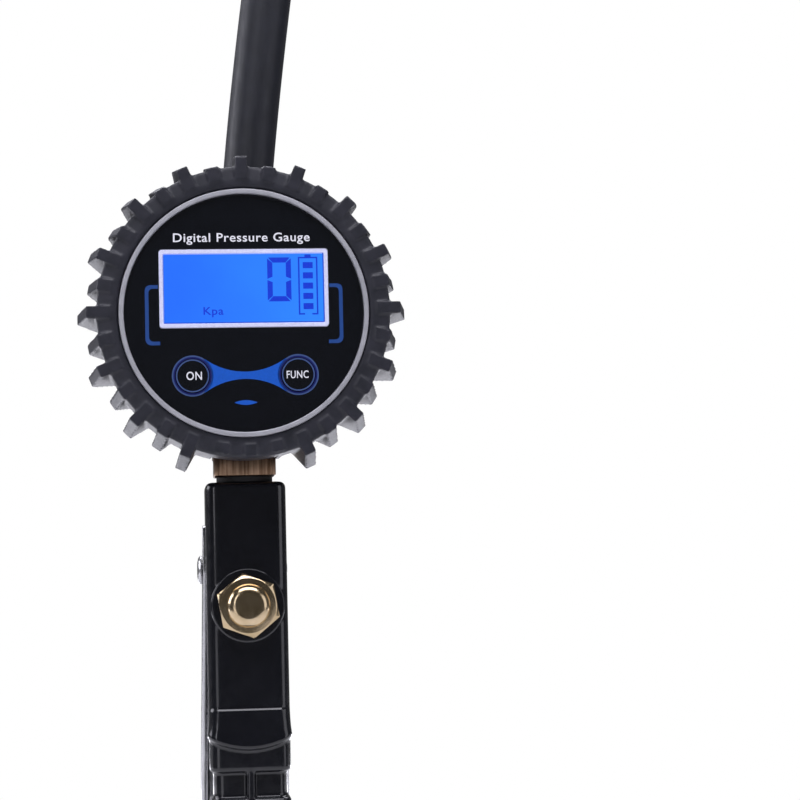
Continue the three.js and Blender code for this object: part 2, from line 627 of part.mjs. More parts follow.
const hoseFerrule = () =>
  ring(FERRULE.inner, FERRULE.outer, GAUGE_Z + HOSE.low + 0.5, GAUGE_Z + HOSE.low + FERRULE.length)
    .translate([0, HOSE.y, 0]);

// The chuck's origin is the hose's end, with +Z out through its mouth.
function chuckBody() {
  const { length, headLow, headRadius, mouth, mouthLow, bore } = CHUCK;
  const { half, pivotY, pivotZ, pinRadius } = CLIP;
  const body = turned(
    [[0, -12], [HOSE.bore - GAP, -12], [HOSE.bore - GAP, GAP], [7.4, GAP], [7.4, 7], [6, 8.5], [6, headLow - 1],
      [headRadius, headLow], [headRadius, length - 0.8], [headRadius - 0.8, length], [0, length]],
    "z",
  );
  const ears = [-1, 1].map((side) => {
    const [x0, x1] = side < 0 ? [-half - 2.1, -half - 0.5] : [half + 0.5, half + 2.1];
    return block(x0, x1, pivotY - 2.6, -5.5, pivotZ - 3.2, pivotZ + 3.2);
  });
  const clipSlot = block(-half - GAP, half + GAP, -12, -3, pivotZ + 5.4, length - 4);
  const pinHole = disc(pinRadius + RUNNING, -20, 20, "x", 24).translate([0, pivotY, pivotZ]);
  return cut(
    union(body, ...ears), disc(mouth, mouthLow, 60), disc(bore, -20, 60, "z", 16), clipSlot, pinHole,
  );
}

const chuckSeal = () => ring(2, CHUCK.mouth - GAP, CHUCK.mouthLow + 2.4, CHUCK.mouthLow + 6, "z", 24);

const coreDepressor = () =>
  union(
    ring(1, CHUCK.mouth - GAP, CHUCK.mouthLow + GAP, CHUCK.mouthLow + 1.3, "z", 24),
    block(-3, 3, -0.6, 0.6, CHUCK.mouthLow + GAP, CHUCK.mouthLow + 1.3),
    disc(0.8, CHUCK.mouthLow + GAP, CHUCK.mouthLow + 7.5, "z", 12),
  );

function chuckClip() {
  const { half, pivotY, pivotZ, pinRadius } = CLIP;
  const outline = polygon([
    [pivotY - 1.9, pivotZ - 2], [pivotY - 1.9, pivotZ + 8.5], [pivotY + 0.4, pivotZ + 10.6],
    [-4.2, pivotZ + 10.6], [-4.2, pivotZ + 9.3], [pivotY + 1.2, pivotZ + 9.3], [pivotY + 1.7, pivotZ + 2],
    [pivotY + 1.7, pivotZ - 1.6], [pivotY - 1.2, pivotZ - 17], [pivotY - 3.6, pivotZ - 23],
    [pivotY - 5.2, pivotZ - 22.4], [pivotY - 3, pivotZ - 16.5],
  ]);
  const hole = disc(pinRadius + RUNNING, -20, 20, "x", 24).translate([0, pivotY, pivotZ]);
  return cut(prism(outline, -half, half, "x"), hole);
}

const chuckPin = () =>
  disc(CLIP.pinRadius, -CLIP.pinHalf, CLIP.pinHalf, "x", 24).translate([0, CLIP.pivotY, CLIP.pivotZ]);

const chuckSpring = () =>
  coil(1.7, 0.3, 3, 4.2).rotate([90, 0, 0]).translate([0, -6.8, CHUCK.headLow - 3.6]);

const chuckFerrule = () => ring(FERRULE.inner, FERRULE.outer, -FERRULE.length, -0.5);

const chuck = group(
  "chuck",
  piece("chuck_ferrule", "steel", chuckFerrule()),
  piece("chuck_body", "steel", chuckBody()),
  piece("chuck_seal", "rubber", chuckSeal()),
  piece("core_depressor", "brass", coreDepressor()),
  piece("chuck_clip", "steel", chuckClip()),
  piece("chuck_pin", "steel", chuckPin()),
  piece("chuck_spring", "steel", chuckSpring()),
);
chuck.position.copy(hoseEnd);
chuck.rotation.y = HOSE_TILT;

const hoseGroup = group(
  "hose_line",
  piece("hose_fitting", "brass", hoseFitting()),
  piece("hose_ferrule", "steel", hoseFerrule()),
  piece("hose", "rubber", hose()),
  chuck,
);

export default group("tyre_inflator_gun", gauge, handle, hoseGroup);
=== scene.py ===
import math

import bmesh
import bpy
from mathutils import Euler, Matrix, Vector

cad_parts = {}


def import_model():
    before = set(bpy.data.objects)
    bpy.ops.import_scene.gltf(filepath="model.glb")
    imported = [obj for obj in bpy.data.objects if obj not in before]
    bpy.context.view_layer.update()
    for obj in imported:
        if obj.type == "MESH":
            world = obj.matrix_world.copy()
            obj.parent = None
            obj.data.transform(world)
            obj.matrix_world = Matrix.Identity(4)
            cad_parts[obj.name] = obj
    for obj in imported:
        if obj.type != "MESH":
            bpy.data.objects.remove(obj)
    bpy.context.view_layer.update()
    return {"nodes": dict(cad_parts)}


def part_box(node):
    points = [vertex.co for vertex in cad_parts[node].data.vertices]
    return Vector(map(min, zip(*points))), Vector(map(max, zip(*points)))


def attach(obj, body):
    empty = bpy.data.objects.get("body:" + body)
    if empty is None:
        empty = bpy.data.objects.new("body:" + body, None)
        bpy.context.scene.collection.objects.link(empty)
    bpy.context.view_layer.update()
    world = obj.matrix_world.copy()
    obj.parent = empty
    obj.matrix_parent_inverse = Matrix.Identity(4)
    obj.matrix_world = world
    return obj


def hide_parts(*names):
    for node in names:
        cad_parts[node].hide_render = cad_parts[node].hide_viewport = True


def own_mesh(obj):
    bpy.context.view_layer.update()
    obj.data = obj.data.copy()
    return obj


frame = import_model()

# Lengths are in millimetres until mesh_object() turns them into metres.
MM = 0.001
TURN = 2 * math.pi


def corners(node):
    low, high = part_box(node)
    return Vector(low) / MM, Vector(high) / MM


# ---- Driving dimensions, most of them read from the frame ----

BEZEL_LOW, BEZEL_HIGH = corners("bezel_ring")
DIAL_Z = (BEZEL_LOW.z + BEZEL_HIGH.z) / 2
BEZEL_RADIUS = BEZEL_HIGH.x
BEZEL_BORE = 31.2
FRONT_Y = BEZEL_LOW.y  # the bezel is the foremost part of the gauge head
PANEL_LOW, PANEL_HIGH = corners("dial_panel")
PANEL_Y = PANEL_LOW.y
PRINT = 0.03  # how far printed marks stand off their surface
SUNK = 0.02  # and how far they reach into it
BOOT_LOW, BOOT_HIGH = corners("protective_boot")
BOOT_OUTER = 37.6  # the boot's wall, without its lugs
BOOT_TURN = math.radians(-0.35)
APEX_Y = -10  # the lugs stand proudest at this depth
LUG_ROOT = 34.6
LUG_PITCH = 11.18  # degrees
LAST_LUG = 14  # counted from the top on either side
LUG_REACH = BOOT_HIGH.x
LCD_LOW, LCD_HIGH = corners("lcd_frame")
LCD_BORDER = 1.05
BUTTON_LOW, BUTTON_HIGH = corners("func_button")
BUTTON_X = (BUTTON_LOW.x + BUTTON_HIGH.x) / 2
BUTTON_Z = (BUTTON_LOW.z + BUTTON_HIGH.z) / 2 - DIAL_Z
BUTTON_RADIUS = 4.4
KEY_RING = 5.35  # outside of the printed rings round the keys
SHANK_LOW, SHANK_HIGH = corners("gauge_shank")
SHANK_Y = (SHANK_LOW.y + SHANK_HIGH.y) / 2
SHANK_BLOCK = DIAL_Z - 41.7, DIAL_Z - 35.2
HANDLE_LOW, HANDLE_HIGH = corners("handle_body")
HANDLE_FRONT = HANDLE_LOW.y + 1  # the plain front face, behind the lip and the valve boss
HANDLE_BACK = 10
STEP_Y = 2.5  # from here back the handle is narrower
FRONT_HALF = 10.7
REAR_HALF = 9.6
HANDLE_CORNERS = [3, 3, 0.4, 0.4]  # round in front, nearly sharp behind
HEAD_LOW = HANDLE_HIGH.z - 10  # underside of the head that carries the hose
GRIP_TOP = DIAL_Z - 119.7
GRIP_RECESS = 6.8
GRIP_PITCH = 12.2
PLUG_BACK = corners("valve_plug")[1].y
PLUG_FACE = HANDLE_FRONT - 5.8
VALVE_Z = DIAL_Z - 76.1
VALVE = (0, 0, VALVE_Z)
PIN_LOW, PIN_HIGH = corners("lever_pin")
PIVOT = Vector((0, (PIN_LOW.y + PIN_HIGH.y) / 2, (PIN_LOW.z + PIN_HIGH.z) / 2))
PIN_BORE = 2.1
SQUEEZE = math.radians(9)
HOSE_Y = 17
HOSE_RADIUS = 7
HOSE_BORE = 4.2
HOSE_LOW, HOSE_BEND_START, HOSE_HIGH = -37, -20, 190  # from the dial's centre
HOSE_TILT = math.radians(7.55)
HOSE_REACH = 23.26  # how far its end is to the side of its port
NIPPLE_TOP = corners("inlet_plug")[1].z
CLIP_Y, CLIP_Z = -11.4, 26  # the clip's pin, from the chuck's lower end
CLIP_BORE = 1.3

# Where the camera stands, its angles in degrees and its lens, in millimetres
CAMERA = {"at": (-21.5, -587.9, 133.6), "yaw": 6.27, "pitch": 4.55, "roll": -1.4, "lens": 97.5}


# ---- Outlines ----

def arc(centre, radius, start, end, steps):
    """Points on an arc, its angles in degrees."""
    points = []
    for i in range(steps + 1):
        angle = math.radians(start + (end - start) * i / steps)
        points.append((centre[0] + radius * math.cos(angle), centre[1] + radius * math.sin(angle)))
    return points


def circle(centre, radius, steps=64):
    return arc(centre, radius, 0, 360, steps)[:-1]


def rounded_box(x0, x1, y0, y1, radii, steps=6):
    """A rectangle with its own radius at each corner, anticlockwise from the low left one."""
    a, b, c, d = radii
    return (
        arc((x0 + a, y0 + a), a, 180, 270, steps)
        + arc((x1 - b, y0 + b), b, 270, 360, steps)
        + arc((x1 - c, y1 - c), c, 0, 90, steps)
        + arc((x0 + d, y1 - d), d, 90, 180, steps)
    )


def hexagon(across_flats, turn=0):
    """A hexagon with one corner at the stated angle, in degrees."""
    return arc((0, 0), across_flats / math.sqrt(3), turn, turn + 360, 6)[:-1]


def split(outline, parts):
    """The same closed outline with every side cut into equal parts."""
    made = []
    for start, end in zip(outline, outline[1:] + outline[:1]):
        for k in range(parts):
            made.append(tuple(Vector(start).lerp(Vector(end), k / parts)))
    return made


def soften(points, radius, loop=False, steps=4):
    """The same path with its corners rounded; the ends of an open path stay."""
    made = []
    count = len(points)
    for i, point in enumerate(points):
        if not loop and i in (0, count - 1):
            made.append(tuple(point))
            continue
        here = Vector(point)
        before = Vector(points[i - 1]) - here
        after = Vector(points[(i + 1) % count]) - here
        reach = min(radius, before.length * 0.48, after.length * 0.48)
        start = here + before.normalized() * reach
        end = here + after.normalized() * reach
        for k in range(steps + 1):
            t = k / steps
            made.append(tuple(start * (1 - t) ** 2 + here * 2 * t * (1 - t) + end * t * t))
    return made


# ---- Shapes: (vertices, faces) pairs ----

def place(axis, u, v, height):
    """A point from two coordinates across an axis and one along it."""
    return {"x": (height, u, v), "y": (u, height, v), "z": (u, v, height)}[axis]


def turned(profile, axis="z", at=(0, 0, 0), segments=96, loop=False):
    """A (radius, height) profile spun about an axis through a point."""
    verts, rows, faces = [], [], []
    for radius, height in profile:
        count = segments if radius > 1e-6 else 1
        rows.append(range(len(verts), len(verts) + count))
        for i in range(count):
            angle = TURN * i / segments
            spot = place(axis, radius * math.cos(angle), radius * math.sin(angle), height)
            verts.append(tuple(Vector(spot) + Vector(at)))
    pairs = list(zip(rows, rows[1:])) + ([(rows[-1], rows[0])] if loop else [])
    for low, high in pairs:
        for i in range(segments):
            j = (i + 1) % segments
            corner = [low[i % len(low)], low[j % len(low)], high[j % len(high)], high[i % len(high)]]
            face = list(dict.fromkeys(corner))
            if len(face) > 2:
                faces.append(face)
    return verts, faces


def rod(radius, start, end, axis="z", at=(0, 0, 0), segments=48):
    return turned([(0, start), (radius, start), (radius, end), (0, end)], axis, at, segments)


def tube(inner, outer, low, high, axis="z", at=(0, 0, 0), segments=48):
    return turned([(inner, low), (outer, low), (outer, high), (inner, high)], axis, at, segments, loop=True)


def loft(sections):
    """A skin through rings of points that all have the same count, closed by flat ends."""
    count = len(sections[0])
    verts = [tuple(point) for section in sections for point in section]
    faces = [list(range(count))[::-1], list(range(len(verts) - count, len(verts)))]
    for level in range(len(sections) - 1):
        low = level * count
        for i in range(count):
            j = (i + 1) % count
            faces.append([low + i, low + j, low + count + j, low + count + i])
    return verts, faces


def prism(outline, low, high, axis="z", at=(0, 0, 0)):
    """An outline pushed from low to high along an axis."""
    base = Vector(at)
    return loft([[tuple(Vector(place(axis, u, v, h)) + base) for u, v in outline] for h in (low, high)])


def block(x0, x1, y0, y1, z0, z1):
    return prism([(x0, y0), (x1, y0), (x1, y1), (x0, y1)], z0, z1)


def soft_block(x0, x1, y0, y1, radii, low, high, ends, steps=5):
    """An upright block, rounded in plan by its corner radii and at its lower and upper ends."""
    lower, upper = ends
    levels = arc((lower, low + lower), lower, 270, 180, steps)
    levels += arc((upper, high - upper), upper, 180, 90, steps)
    sections = []
    for inset, z in levels:
        left = [max(r - inset, 0.1) for r in radii]
        plan = rounded_box(x0 + inset, x1 - inset, y0 + inset, y1 - inset, left)
        sections.append([(x, y, z) for x, y in plan])
    return loft(sections)


def frame_band(outer, inner, low, high):
    """The wall between two outlines with the same point count, along y."""
    count = len(outer)
    rings = [(inner, low), (outer, low), (outer, high), (inner, high)]
    verts = [(u, h, v) for ring, h in rings for u, v in ring]
    faces = []
    for level in range(4):
        a, b = level * count, ((level + 1) % 4) * count
        for i in range(count):
            j = (i + 1) % count
            faces.append([a + i, a + j, b + j, b + i])
    return verts, faces


def swept(path, section):
    """A 2D section carried along a path of points; the ends are closed."""
    rings = []
    for i, point in enumerate(path):
        ahead = Vector(path[min(i + 1, len(path) - 1)]) - Vector(path[max(i - 1, 0)])
        forward = ahead.normalized()
        side = Vector((0, 1, 0)).cross(forward)
        side = side.normalized() if side.length > 1e-4 else Vector((1, 0, 0))
        up = forward.cross(side)
        rings.append([tuple(Vector(point) + side * u + up * v) for u, v in section])
    return loft(rings)


def coil(radius, wire, turns, length, steps=20):
    """A round wire wound upwards about z."""
    rings = []
    for i in range(turns * steps + 1):
        angle = TURN * i / steps
        height = length * i / (turns * steps)
        out = Vector((math.cos(angle), math.sin(angle), 0))
        centre = out * radius + Vector((0, 0, height))
        rings.append([tuple(centre + out * u + Vector((0, 0, v))) for u, v in circle((0, 0), wire, 10)])
    return loft(rings)


def moved(shape, matrix):
    verts, faces = shape
    return [tuple(matrix @ Vector(v)) for v in verts], faces


# ---- Objects ----

def linked(name, data):
    """A new object in the scene."""
    made = bpy.data.objects.new(name, data)
    bpy.context.scene.collection.objects.link(made)
    return made


def mesh_object(name, shapes):
    """One object from several shapes, in metres and with its faces turned outwards."""
    mesh = bpy.data.meshes.new(name)
    verts, faces = [], []
    for shape_verts, shape_faces in shapes:
        base = len(verts)
        verts += [tuple(c * MM for c in v) for v in shape_verts]
        faces += [[base + i for i in face] for face in shape_faces]
    mesh.from_pydata(verts, [], faces)
    mesh.validate()
    face_outwards(mesh)
    return linked(name, mesh)


def face_outwards(mesh):
    work = bmesh.new()
    work.from_mesh(mesh)
    bmesh.ops.recalc_face_normals(work, faces=work.faces)
    work.to_mesh(mesh)
    work.free()


def bake_modifiers(made):
    """Replaces an object's mesh by the result of its modifiers."""
    bpy.context.view_layer.update()
    depsgraph = bpy.context.evaluated_depsgraph_get()
    mesh = bpy.data.meshes.new_from_object(made.evaluated_get(depsgraph))
    old = made.data
    made.modifiers.clear()
    made.data = mesh
    bpy.data.meshes.remove(old)
    return made


def fused(name, shapes, voxel, relax):
    """Melts overlapping shapes into one skin with softened edges."""
    made = mesh_object(name, shapes)
    melt = made.modifiers.new("melt", "REMESH")
    melt.mode = "VOXEL"
    melt.voxel_size = voxel * MM
    soft = made.modifiers.new("soften", "SMOOTH")
    soft.factor = 0.5
    soft.iterations = relax
    return bake_modifiers(made)


def carve(made, shapes, operation="DIFFERENCE"):
    """Cuts shapes out of an object, or joins them to it, one after another."""
    for shape in shapes:
        tool = mesh_object("tool", [shape])
        cut = made.modifiers.new("cut", "BOOLEAN")
        cut.operation = operation
        cut.solver = "MANIFOLD"
        cut.object = tool
        bake_modifiers(made)
        bpy.data.objects.remove(tool)


def finish(made, material, body="handle", replaces=None, smooth=35):
    """Shades a piece, gives it its look and hangs it on its body, in place of a CAD node if one is named."""
    made.data.shade_smooth()
    made.data.set_sharp_from_angle(angle=math.radians(smooth))
    made.data.materials.clear()
    made.data.materials.append(MATERIALS[material])
    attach(made, body)
    if replaces:
        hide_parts(replaces)
    return made


def bevelled(made, width, segments=2, angle=40, harden=True):
    edge = made.modifiers.new("edges", "BEVEL")
    edge.width = width * MM
    edge.segments = segments
    edge.limit_method = "ANGLE"
    edge.angle_limit = math.radians(angle)
    edge.harden_normals = harden


def piece(name, shapes, material, body="handle", replaces=None, smooth=35, bevel=0):
    made = mesh_object(name, shapes)
    if bevel:
        bevelled(made, bevel)
    return finish(made, material, body, replaces, smooth)


# ---- Materials ----

class Nodes:
    """Short-hand for building one material's node tree."""

    def __init__(self, name):
        self.material = bpy.data.materials.new(name)
        self.material.use_nodes = True
        self.tree = self.material.node_tree
        self.shader = self.tree.nodes["Principled BSDF"]
        self.where = self.add("ShaderNodeTexCoord").outputs["Object"]

    def add(self, kind, **values):
        node = self.tree.nodes.new(kind)
        for key, value in values.items():
            if key in node.inputs:
                node.inputs[key].default_value = value
            else:
                setattr(node, key, value)
        return node

    def link(self, output, target):
        self.tree.links.new(output, target)

    def set(self, **values):
        """Shader inputs by name, with _ for a space."""
        for key, value in values.items():
            self.shader.inputs[key.replace("_", " ")].default_value = value

    def noise(self, scale, detail=4, stretch=(1, 1, 1)):
        mapping = self.add("ShaderNodeMapping")
        mapping.inputs["Scale"].default_value = stretch
        self.link(self.where, mapping.inputs["Vector"])
        made = self.add("ShaderNodeTexNoise", Scale=scale, Detail=detail)
        self.link(mapping.outputs[0], made.inputs["Vector"])
        return made.outputs["Fac"]

    def ranged(self, value, low, high, start=0.3, end=0.7):
        made = self.add("ShaderNodeMapRange")
        for key, number in zip(("From Min", "From Max", "To Min", "To Max"), (start, end, low, high)):
            made.inputs[key].default_value = number
        self.link(value, made.inputs["Value"])
        return made.outputs["Result"]

    def blend(self, factor, first, second):
        made = self.add("ShaderNodeMix", data_type="RGBA")
        self.link(factor, made.inputs["Factor"])
        made.inputs[6].default_value = (*first, 1)
        made.inputs[7].default_value = (*second, 1)
        return made.outputs[2]

    def bump(self, height, strength, depth):
        made = self.add("ShaderNodeBump", Strength=strength, Distance=depth * MM)
        self.link(height, made.inputs["Height"])
        self.link(made.outputs["Normal"], self.shader.inputs["Normal"])


def surface(name, dark, light, rough, metal=0.0, coat=0.0, patch=250, grain=1500, bump=0.2, depth=0.05,
            stretch=(1, 1, 1), brushed=False):
    """A base material: its tone drifts between two colours in patches, or along the grain if brushed."""
    nodes = Nodes(name)
    nodes.set(Metallic=metal, Coat_Weight=coat, Coat_Roughness=0.05)
    drift = nodes.noise(patch, 5)
    fine = nodes.noise(grain, 3, stretch)
    tone = nodes.ranged(fine if brushed else drift, 0, 1)
    nodes.link(nodes.blend(tone, dark, light), nodes.shader.inputs["Base Color"])
    low, high = rough
    nodes.link(nodes.ranged(fine, low, high), nodes.shader.inputs["Roughness"])
    nodes.bump(fine, bump, depth)
    return nodes.material


def lcd_material():
    """Backlit display: blue light, a little paler towards its right-hand side."""
    nodes = Nodes("lcd_backlit")
    spot = nodes.add("ShaderNodeSeparateXYZ")
    nodes.link(nodes.where, spot.inputs[0])
    across = nodes.ranged(spot.outputs["X"], 0, 1, LCD_LOW.x * MM, LCD_HIGH.x * MM)
    mottle = nodes.ranged(nodes.noise(60, 3), -0.12, 0.12)
    mixed = nodes.add("ShaderNodeMath", operation="ADD", use_clamp=True)
    nodes.link(across, mixed.inputs[0])
    nodes.link(mottle, mixed.inputs[1])
    colour = nodes.blend(mixed.outputs[0], (0.018, 0.155, 0.95), (0.028, 0.24, 0.98))
    nodes.link(colour, nodes.shader.inputs["Emission Color"])
    nodes.set(Base_Color=(0.002, 0.01, 0.05, 1), Emission_Strength=1, Roughness=0.3)
    nodes.bump(nodes.noise(2500, 2), 0.05, 0.01)
    return nodes.material


def printed(name, colour, glow=0.5):
    """Ink with a fine mottle that also glows: on the display glass the glow is its backlight, on the dial and
    the display frame it is painted light in place of front light.
    """
    nodes = Nodes(name)
    darker = tuple(0.85 * c for c in colour)
    ink = nodes.blend(nodes.ranged(nodes.noise(1800, 3), 0, 1), darker, colour)
    nodes.link(ink, nodes.shader.inputs["Base Color"])
    nodes.link(ink, nodes.shader.inputs["Emission Color"])
    nodes.set(Emission_Strength=glow, Roughness=0.4)
    nodes.bump(nodes.noise(4000, 2), 0.1, 0.01)
    return nodes.material


MATERIALS = {
    "boot": surface("boot_rubber", (0.009, 0.01, 0.017), (0.021, 0.021, 0.032), (0.42, 0.58), grain=2200,
                    bump=0.35, depth=0.06),
    "hose": surface("hose_rubber", (0.005, 0.006, 0.011), (0.009, 0.01, 0.018), (0.42, 0.56), grain=1200,
                    bump=0.25, depth=0.05, stretch=(1, 1, 0.12)),
    "seal": surface("seal_rubber", (0.002, 0.002, 0.003), (0.004, 0.004, 0.005), (0.6, 0.75)),
    "silver": surface("bezel_silver", (0.42, 0.42, 0.46), (0.52, 0.52, 0.56), (0.42, 0.55), metal=0.4,
                      grain=3000, bump=0.08, depth=0.02),
    "gloss": surface("dial_gloss", (0.004, 0.0048, 0.0075), (0.005, 0.006, 0.009), (0.08, 0.14), coat=0.3,
                     grain=900, bump=0.03, depth=0.01),
    # The display frame's glow and the dial inks' glow are painted light in place of front light; the digit
    # and shade inks glow with the display's backlight, and the shade strips are painted shade.
    "frame": printed("lcd_frame_white", (0.52, 0.53, 0.72), 0.5),
    "lcd": lcd_material(),
    "digit": printed("lcd_segment_ink", (0.002, 0.024, 0.4), 0.9),
    "shade": printed("frame_shade", (0.008, 0.05, 0.4), 0.8),
    "white_ink": printed("white_ink", (0.62, 0.62, 0.68)),
    "blue_ink": printed("blue_ink", (0.004, 0.07, 0.4)),
    "dim_blue_ink": printed("dim_blue_ink", (0.01, 0.045, 0.19)),
    "ring_ink": printed("ring_ink", (0.035, 0.065, 0.18)),
    "navy_ink": printed("navy_ink", (0.0005, 0.004, 0.08)),
    "brass": surface("plug_brass", (0.5, 0.38, 0.22), (0.68, 0.54, 0.36), (0.14, 0.24), metal=1, grain=2500,
                     bump=0.1, depth=0.02),
    "dark_brass": surface("shank_brass", (0.1, 0.055, 0.03), (0.36, 0.24, 0.16), (0.3, 0.45), metal=1,
                          grain=500, bump=0.6, depth=0.08, stretch=(3, 3, 0.1), brushed=True),
    "paint": surface("handle_paint", (0.004, 0.0045, 0.0075), (0.006, 0.0065, 0.01), (0.16, 0.24),
                     coat=0.3, patch=120, grain=420, bump=0.06, depth=0.05),
    "chrome": surface("lever_chrome", (0.54, 0.54, 0.56), (0.64, 0.64, 0.66), (0.16, 0.26), metal=1,
                      grain=2600, bump=0.03, depth=0.01, stretch=(1, 1, 0.2)),
    "steel": surface("plated_steel", (0.42, 0.42, 0.43), (0.56, 0.56, 0.57), (0.2, 0.34), metal=1, grain=2600,
                     bump=0.12, depth=0.02),
    "plastic": surface("case_plastic", (0.014, 0.014, 0.016), (0.022, 0.022, 0.025), (0.45, 0.62), grain=2800,
                       bump=0.3, depth=0.03),
    "board": surface("board_laminate", (0.008, 0.09, 0.04), (0.012, 0.14, 0.06), (0.35, 0.5), grain=3000),
    "cell": surface("cell_sleeve", (0.05, 0.055, 0.065), (0.09, 0.095, 0.11), (0.25, 0.4), metal=0.3),
    "diffuser": surface("light_guide", (0.6, 0.68, 0.8), (0.75, 0.8, 0.9), (0.4, 0.5)),
}


# ---- Gauge head ----

def lug(index):
    """One tread lug: a rib on the front face that runs out to a flat tip, with an apex at mid depth."""
    front, back = BOOT_LOW.y, BOOT_HIGH.y
    if index > LAST_LUG:  # over the shank only the rib on the front face is left
        apex, tip = BOOT_OUTER + 0.3, BOOT_OUTER
    elif index % 2 == 0:
        apex, tip = LUG_REACH + 0.25, 40.8
    else:
        apex, tip = 41.7, 38.6
    side = [(front, LUG_ROOT), (front, tip), (APEX_Y, apex), (back - 0.5, BOOT_OUTER + 0.4),
            (back - 0.5, 35), (front + 3, LUG_ROOT)]
    widths = [1.6, 1.6, 1.5, 1.9, 1.9, 1.6]
    sections = [[(sign * w, y, r) for (y, r), w in zip(side, widths)] for sign in (-1, 1)]
    return moved(loft(sections), Matrix.Rotation(math.radians(LUG_PITCH * index), 4, "Y"))


def boot():
    """A turned wall and its lugs, melted together, with a way through for the shank."""
    inner = BEZEL_RADIUS + 0.08
    front, back = BOOT_LOW.y, BOOT_HIGH.y
    wall = [
        (inner, front + 0.9), (inner + 0.5, front + 0.3), (34.4, front + 0.3),
        (BOOT_OUTER + 0.2, front + 0.75), (BOOT_OUTER + 0.6, front + 1.2), (BOOT_OUTER + 0.6, APEX_Y),
        (BOOT_OUTER, back - 1.5), (BOOT_OUTER - 1.2, back), (29, back), (29, 5.5), (inner, 5.5),
    ]
    lift = Matrix.Translation((0, 0, DIAL_Z + 0.3)) @ Matrix.Rotation(BOOT_TURN, 4, "Y")
    lugs = [lug(i) for i in range(-LAST_LUG, LAST_LUG + 4)]
    shapes = [turned(wall, "y", segments=160, loop=True)] + lugs
    made = fused("tread_boot", [moved(shape, lift) for shape in shapes], 0.4, 2)
    half = SHANK_HIGH.x + 0.7
    carve(made, [block(-half, half, SHANK_LOW.y - 0.6, 20, DIAL_Z - 60, DIAL_Z - 26)])
    finish(made, "boot", replaces="protective_boot", smooth=45)


def bezel():
    back = BEZEL_HIGH.y
    profile = soften(
        [(BEZEL_BORE, back), (BEZEL_RADIUS, back), (BEZEL_RADIUS, FRONT_Y + 0.4),
         (BEZEL_RADIUS - 0.2, FRONT_Y), (BEZEL_BORE + 0.15, FRONT_Y), (BEZEL_BORE, FRONT_Y + 0.3)],
        0.12, loop=True,
    )
    shape = turned(profile, "y", (0, 0, DIAL_Z), 192, loop=True)
    piece("bezel", [shape], "silver", replaces="bezel_ring")


def display_outline(inset, radius):
    """The display frame's outline, moved inwards."""
    return rounded_box(LCD_LOW.x + inset, LCD_HIGH.x - inset, LCD_LOW.z + inset, LCD_HIGH.z - inset,
                       [radius] * 4)


def dial_panel():
    """The printed face: a disc with a display window and two key holes."""
    rim = BEZEL_BORE - 0.02
    profile = soften([(0, PANEL_Y), (rim, PANEL_Y), (rim, PANEL_HIGH.y), (0, PANEL_HIGH.y)], 0.05)
    made = mesh_object("dial_face", [turned(profile, "y", (0, 0, DIAL_Z), 192)])
    gap = 0.15
    holes = [
        rod(BUTTON_RADIUS + 0.1, FRONT_Y, 0, "y", (side * BUTTON_X, 0, DIAL_Z + BUTTON_Z), 96)
        for side in (-1, 1)
    ]
    carve(made, [prism(display_outline(-gap, 0.9), FRONT_Y, 0, "y"), *holes])
    finish(made, "gloss", replaces="dial_panel")


def lcd_frame():
    outer, inner = display_outline(0, 0.8), display_outline(LCD_BORDER, 0.3)
    band = frame_band(outer, inner, LCD_LOW.y, LCD_HIGH.y)
    piece("display_frame", [band], "frame", replaces="lcd_frame", bevel=0.18)


def lcd_glass():
    low, high = corners("lcd_glass")
    outline = rounded_box(low.x, high.x, low.z, high.z, [0.2] * 4)
    glass = prism(outline, low.y, high.y, "y")
    piece("display_glass", [glass], "lcd", replaces="lcd_glass", bevel=0.05)


def marks(name, outlines, material, depth_y):
    """Thin printed shapes on a surface, their outlines in dial coordinates."""
    shapes = [prism(outline, depth_y - PRINT, depth_y + SUNK, "y", (0, 0, DIAL_Z)) for outline in outlines]
    piece(name, shapes, material)


def lettering(name, words, centre, size, material, depth_y, body="handle", weight=0.01):
    """Words in the built-in font, stretched to a stated size in dial coordinates."""
    curve = bpy.data.curves.new(name, "FONT")
    curve.body = words
    curve.offset = weight
    curve.resolution_u = 4
    curve.space_character = 1.08
    source = linked(name + "_source", curve)
    bpy.context.view_layer.update()
    flat = bpy.data.meshes.new_from_object(source.evaluated_get(bpy.context.evaluated_depsgraph_get()))
    bpy.data.objects.remove(source)
    xs = [v.co.x for v in flat.vertices]
    ys = [v.co.y for v in flat.vertices]
    wide = size[0] / (max(xs) - min(xs)) * MM
    tall = size[1] / (max(ys) - min(ys)) * MM
    for vertex in flat.vertices:
        x = (vertex.co.x - (max(xs) + min(xs)) / 2) * wide + centre[0] * MM
        z = (vertex.co.y - (max(ys) + min(ys)) / 2) * tall + (centre[1] + DIAL_Z) * MM
        vertex.co = (x, (depth_y - PRINT) * MM, z)
    made = linked(name, flat)
    thick = made.modifiers.new("ink", "SOLIDIFY")
    thick.thickness = (PRINT + SUNK) * MM
    thick.offset = -1
    bake_modifiers(made)
    finish(made, material, body)


def annulus(name, centre, radius, width, material, depth_y, body="handle"):
    """A printed ring, its centre in dial coordinates."""
    shape = tube(radius - width, radius, depth_y - PRINT, depth_y + SUNK, "y",
                 (centre[0], 0, centre[1] + DIAL_Z), 96)
    piece(name, [shape], material, body)


def bracket(side):
    """A line that leaves the display frame, turns down and turns back in."""
    outer_x, width, radius = 25.7, 0.95, 5
    high, low, foot = 7.4, -8.3, 21.9

    def edge(inset):
        x, top, bottom = outer_x - inset, high - inset, low + inset
        points = [(LCD_HIGH.x + 0.3, top), (x, top), (x, bottom), (foot, bottom)]
        return soften(points, radius - inset, steps=8)

    return [(side * x, z) for x, z in edge(0) + edge(width)[::-1]]


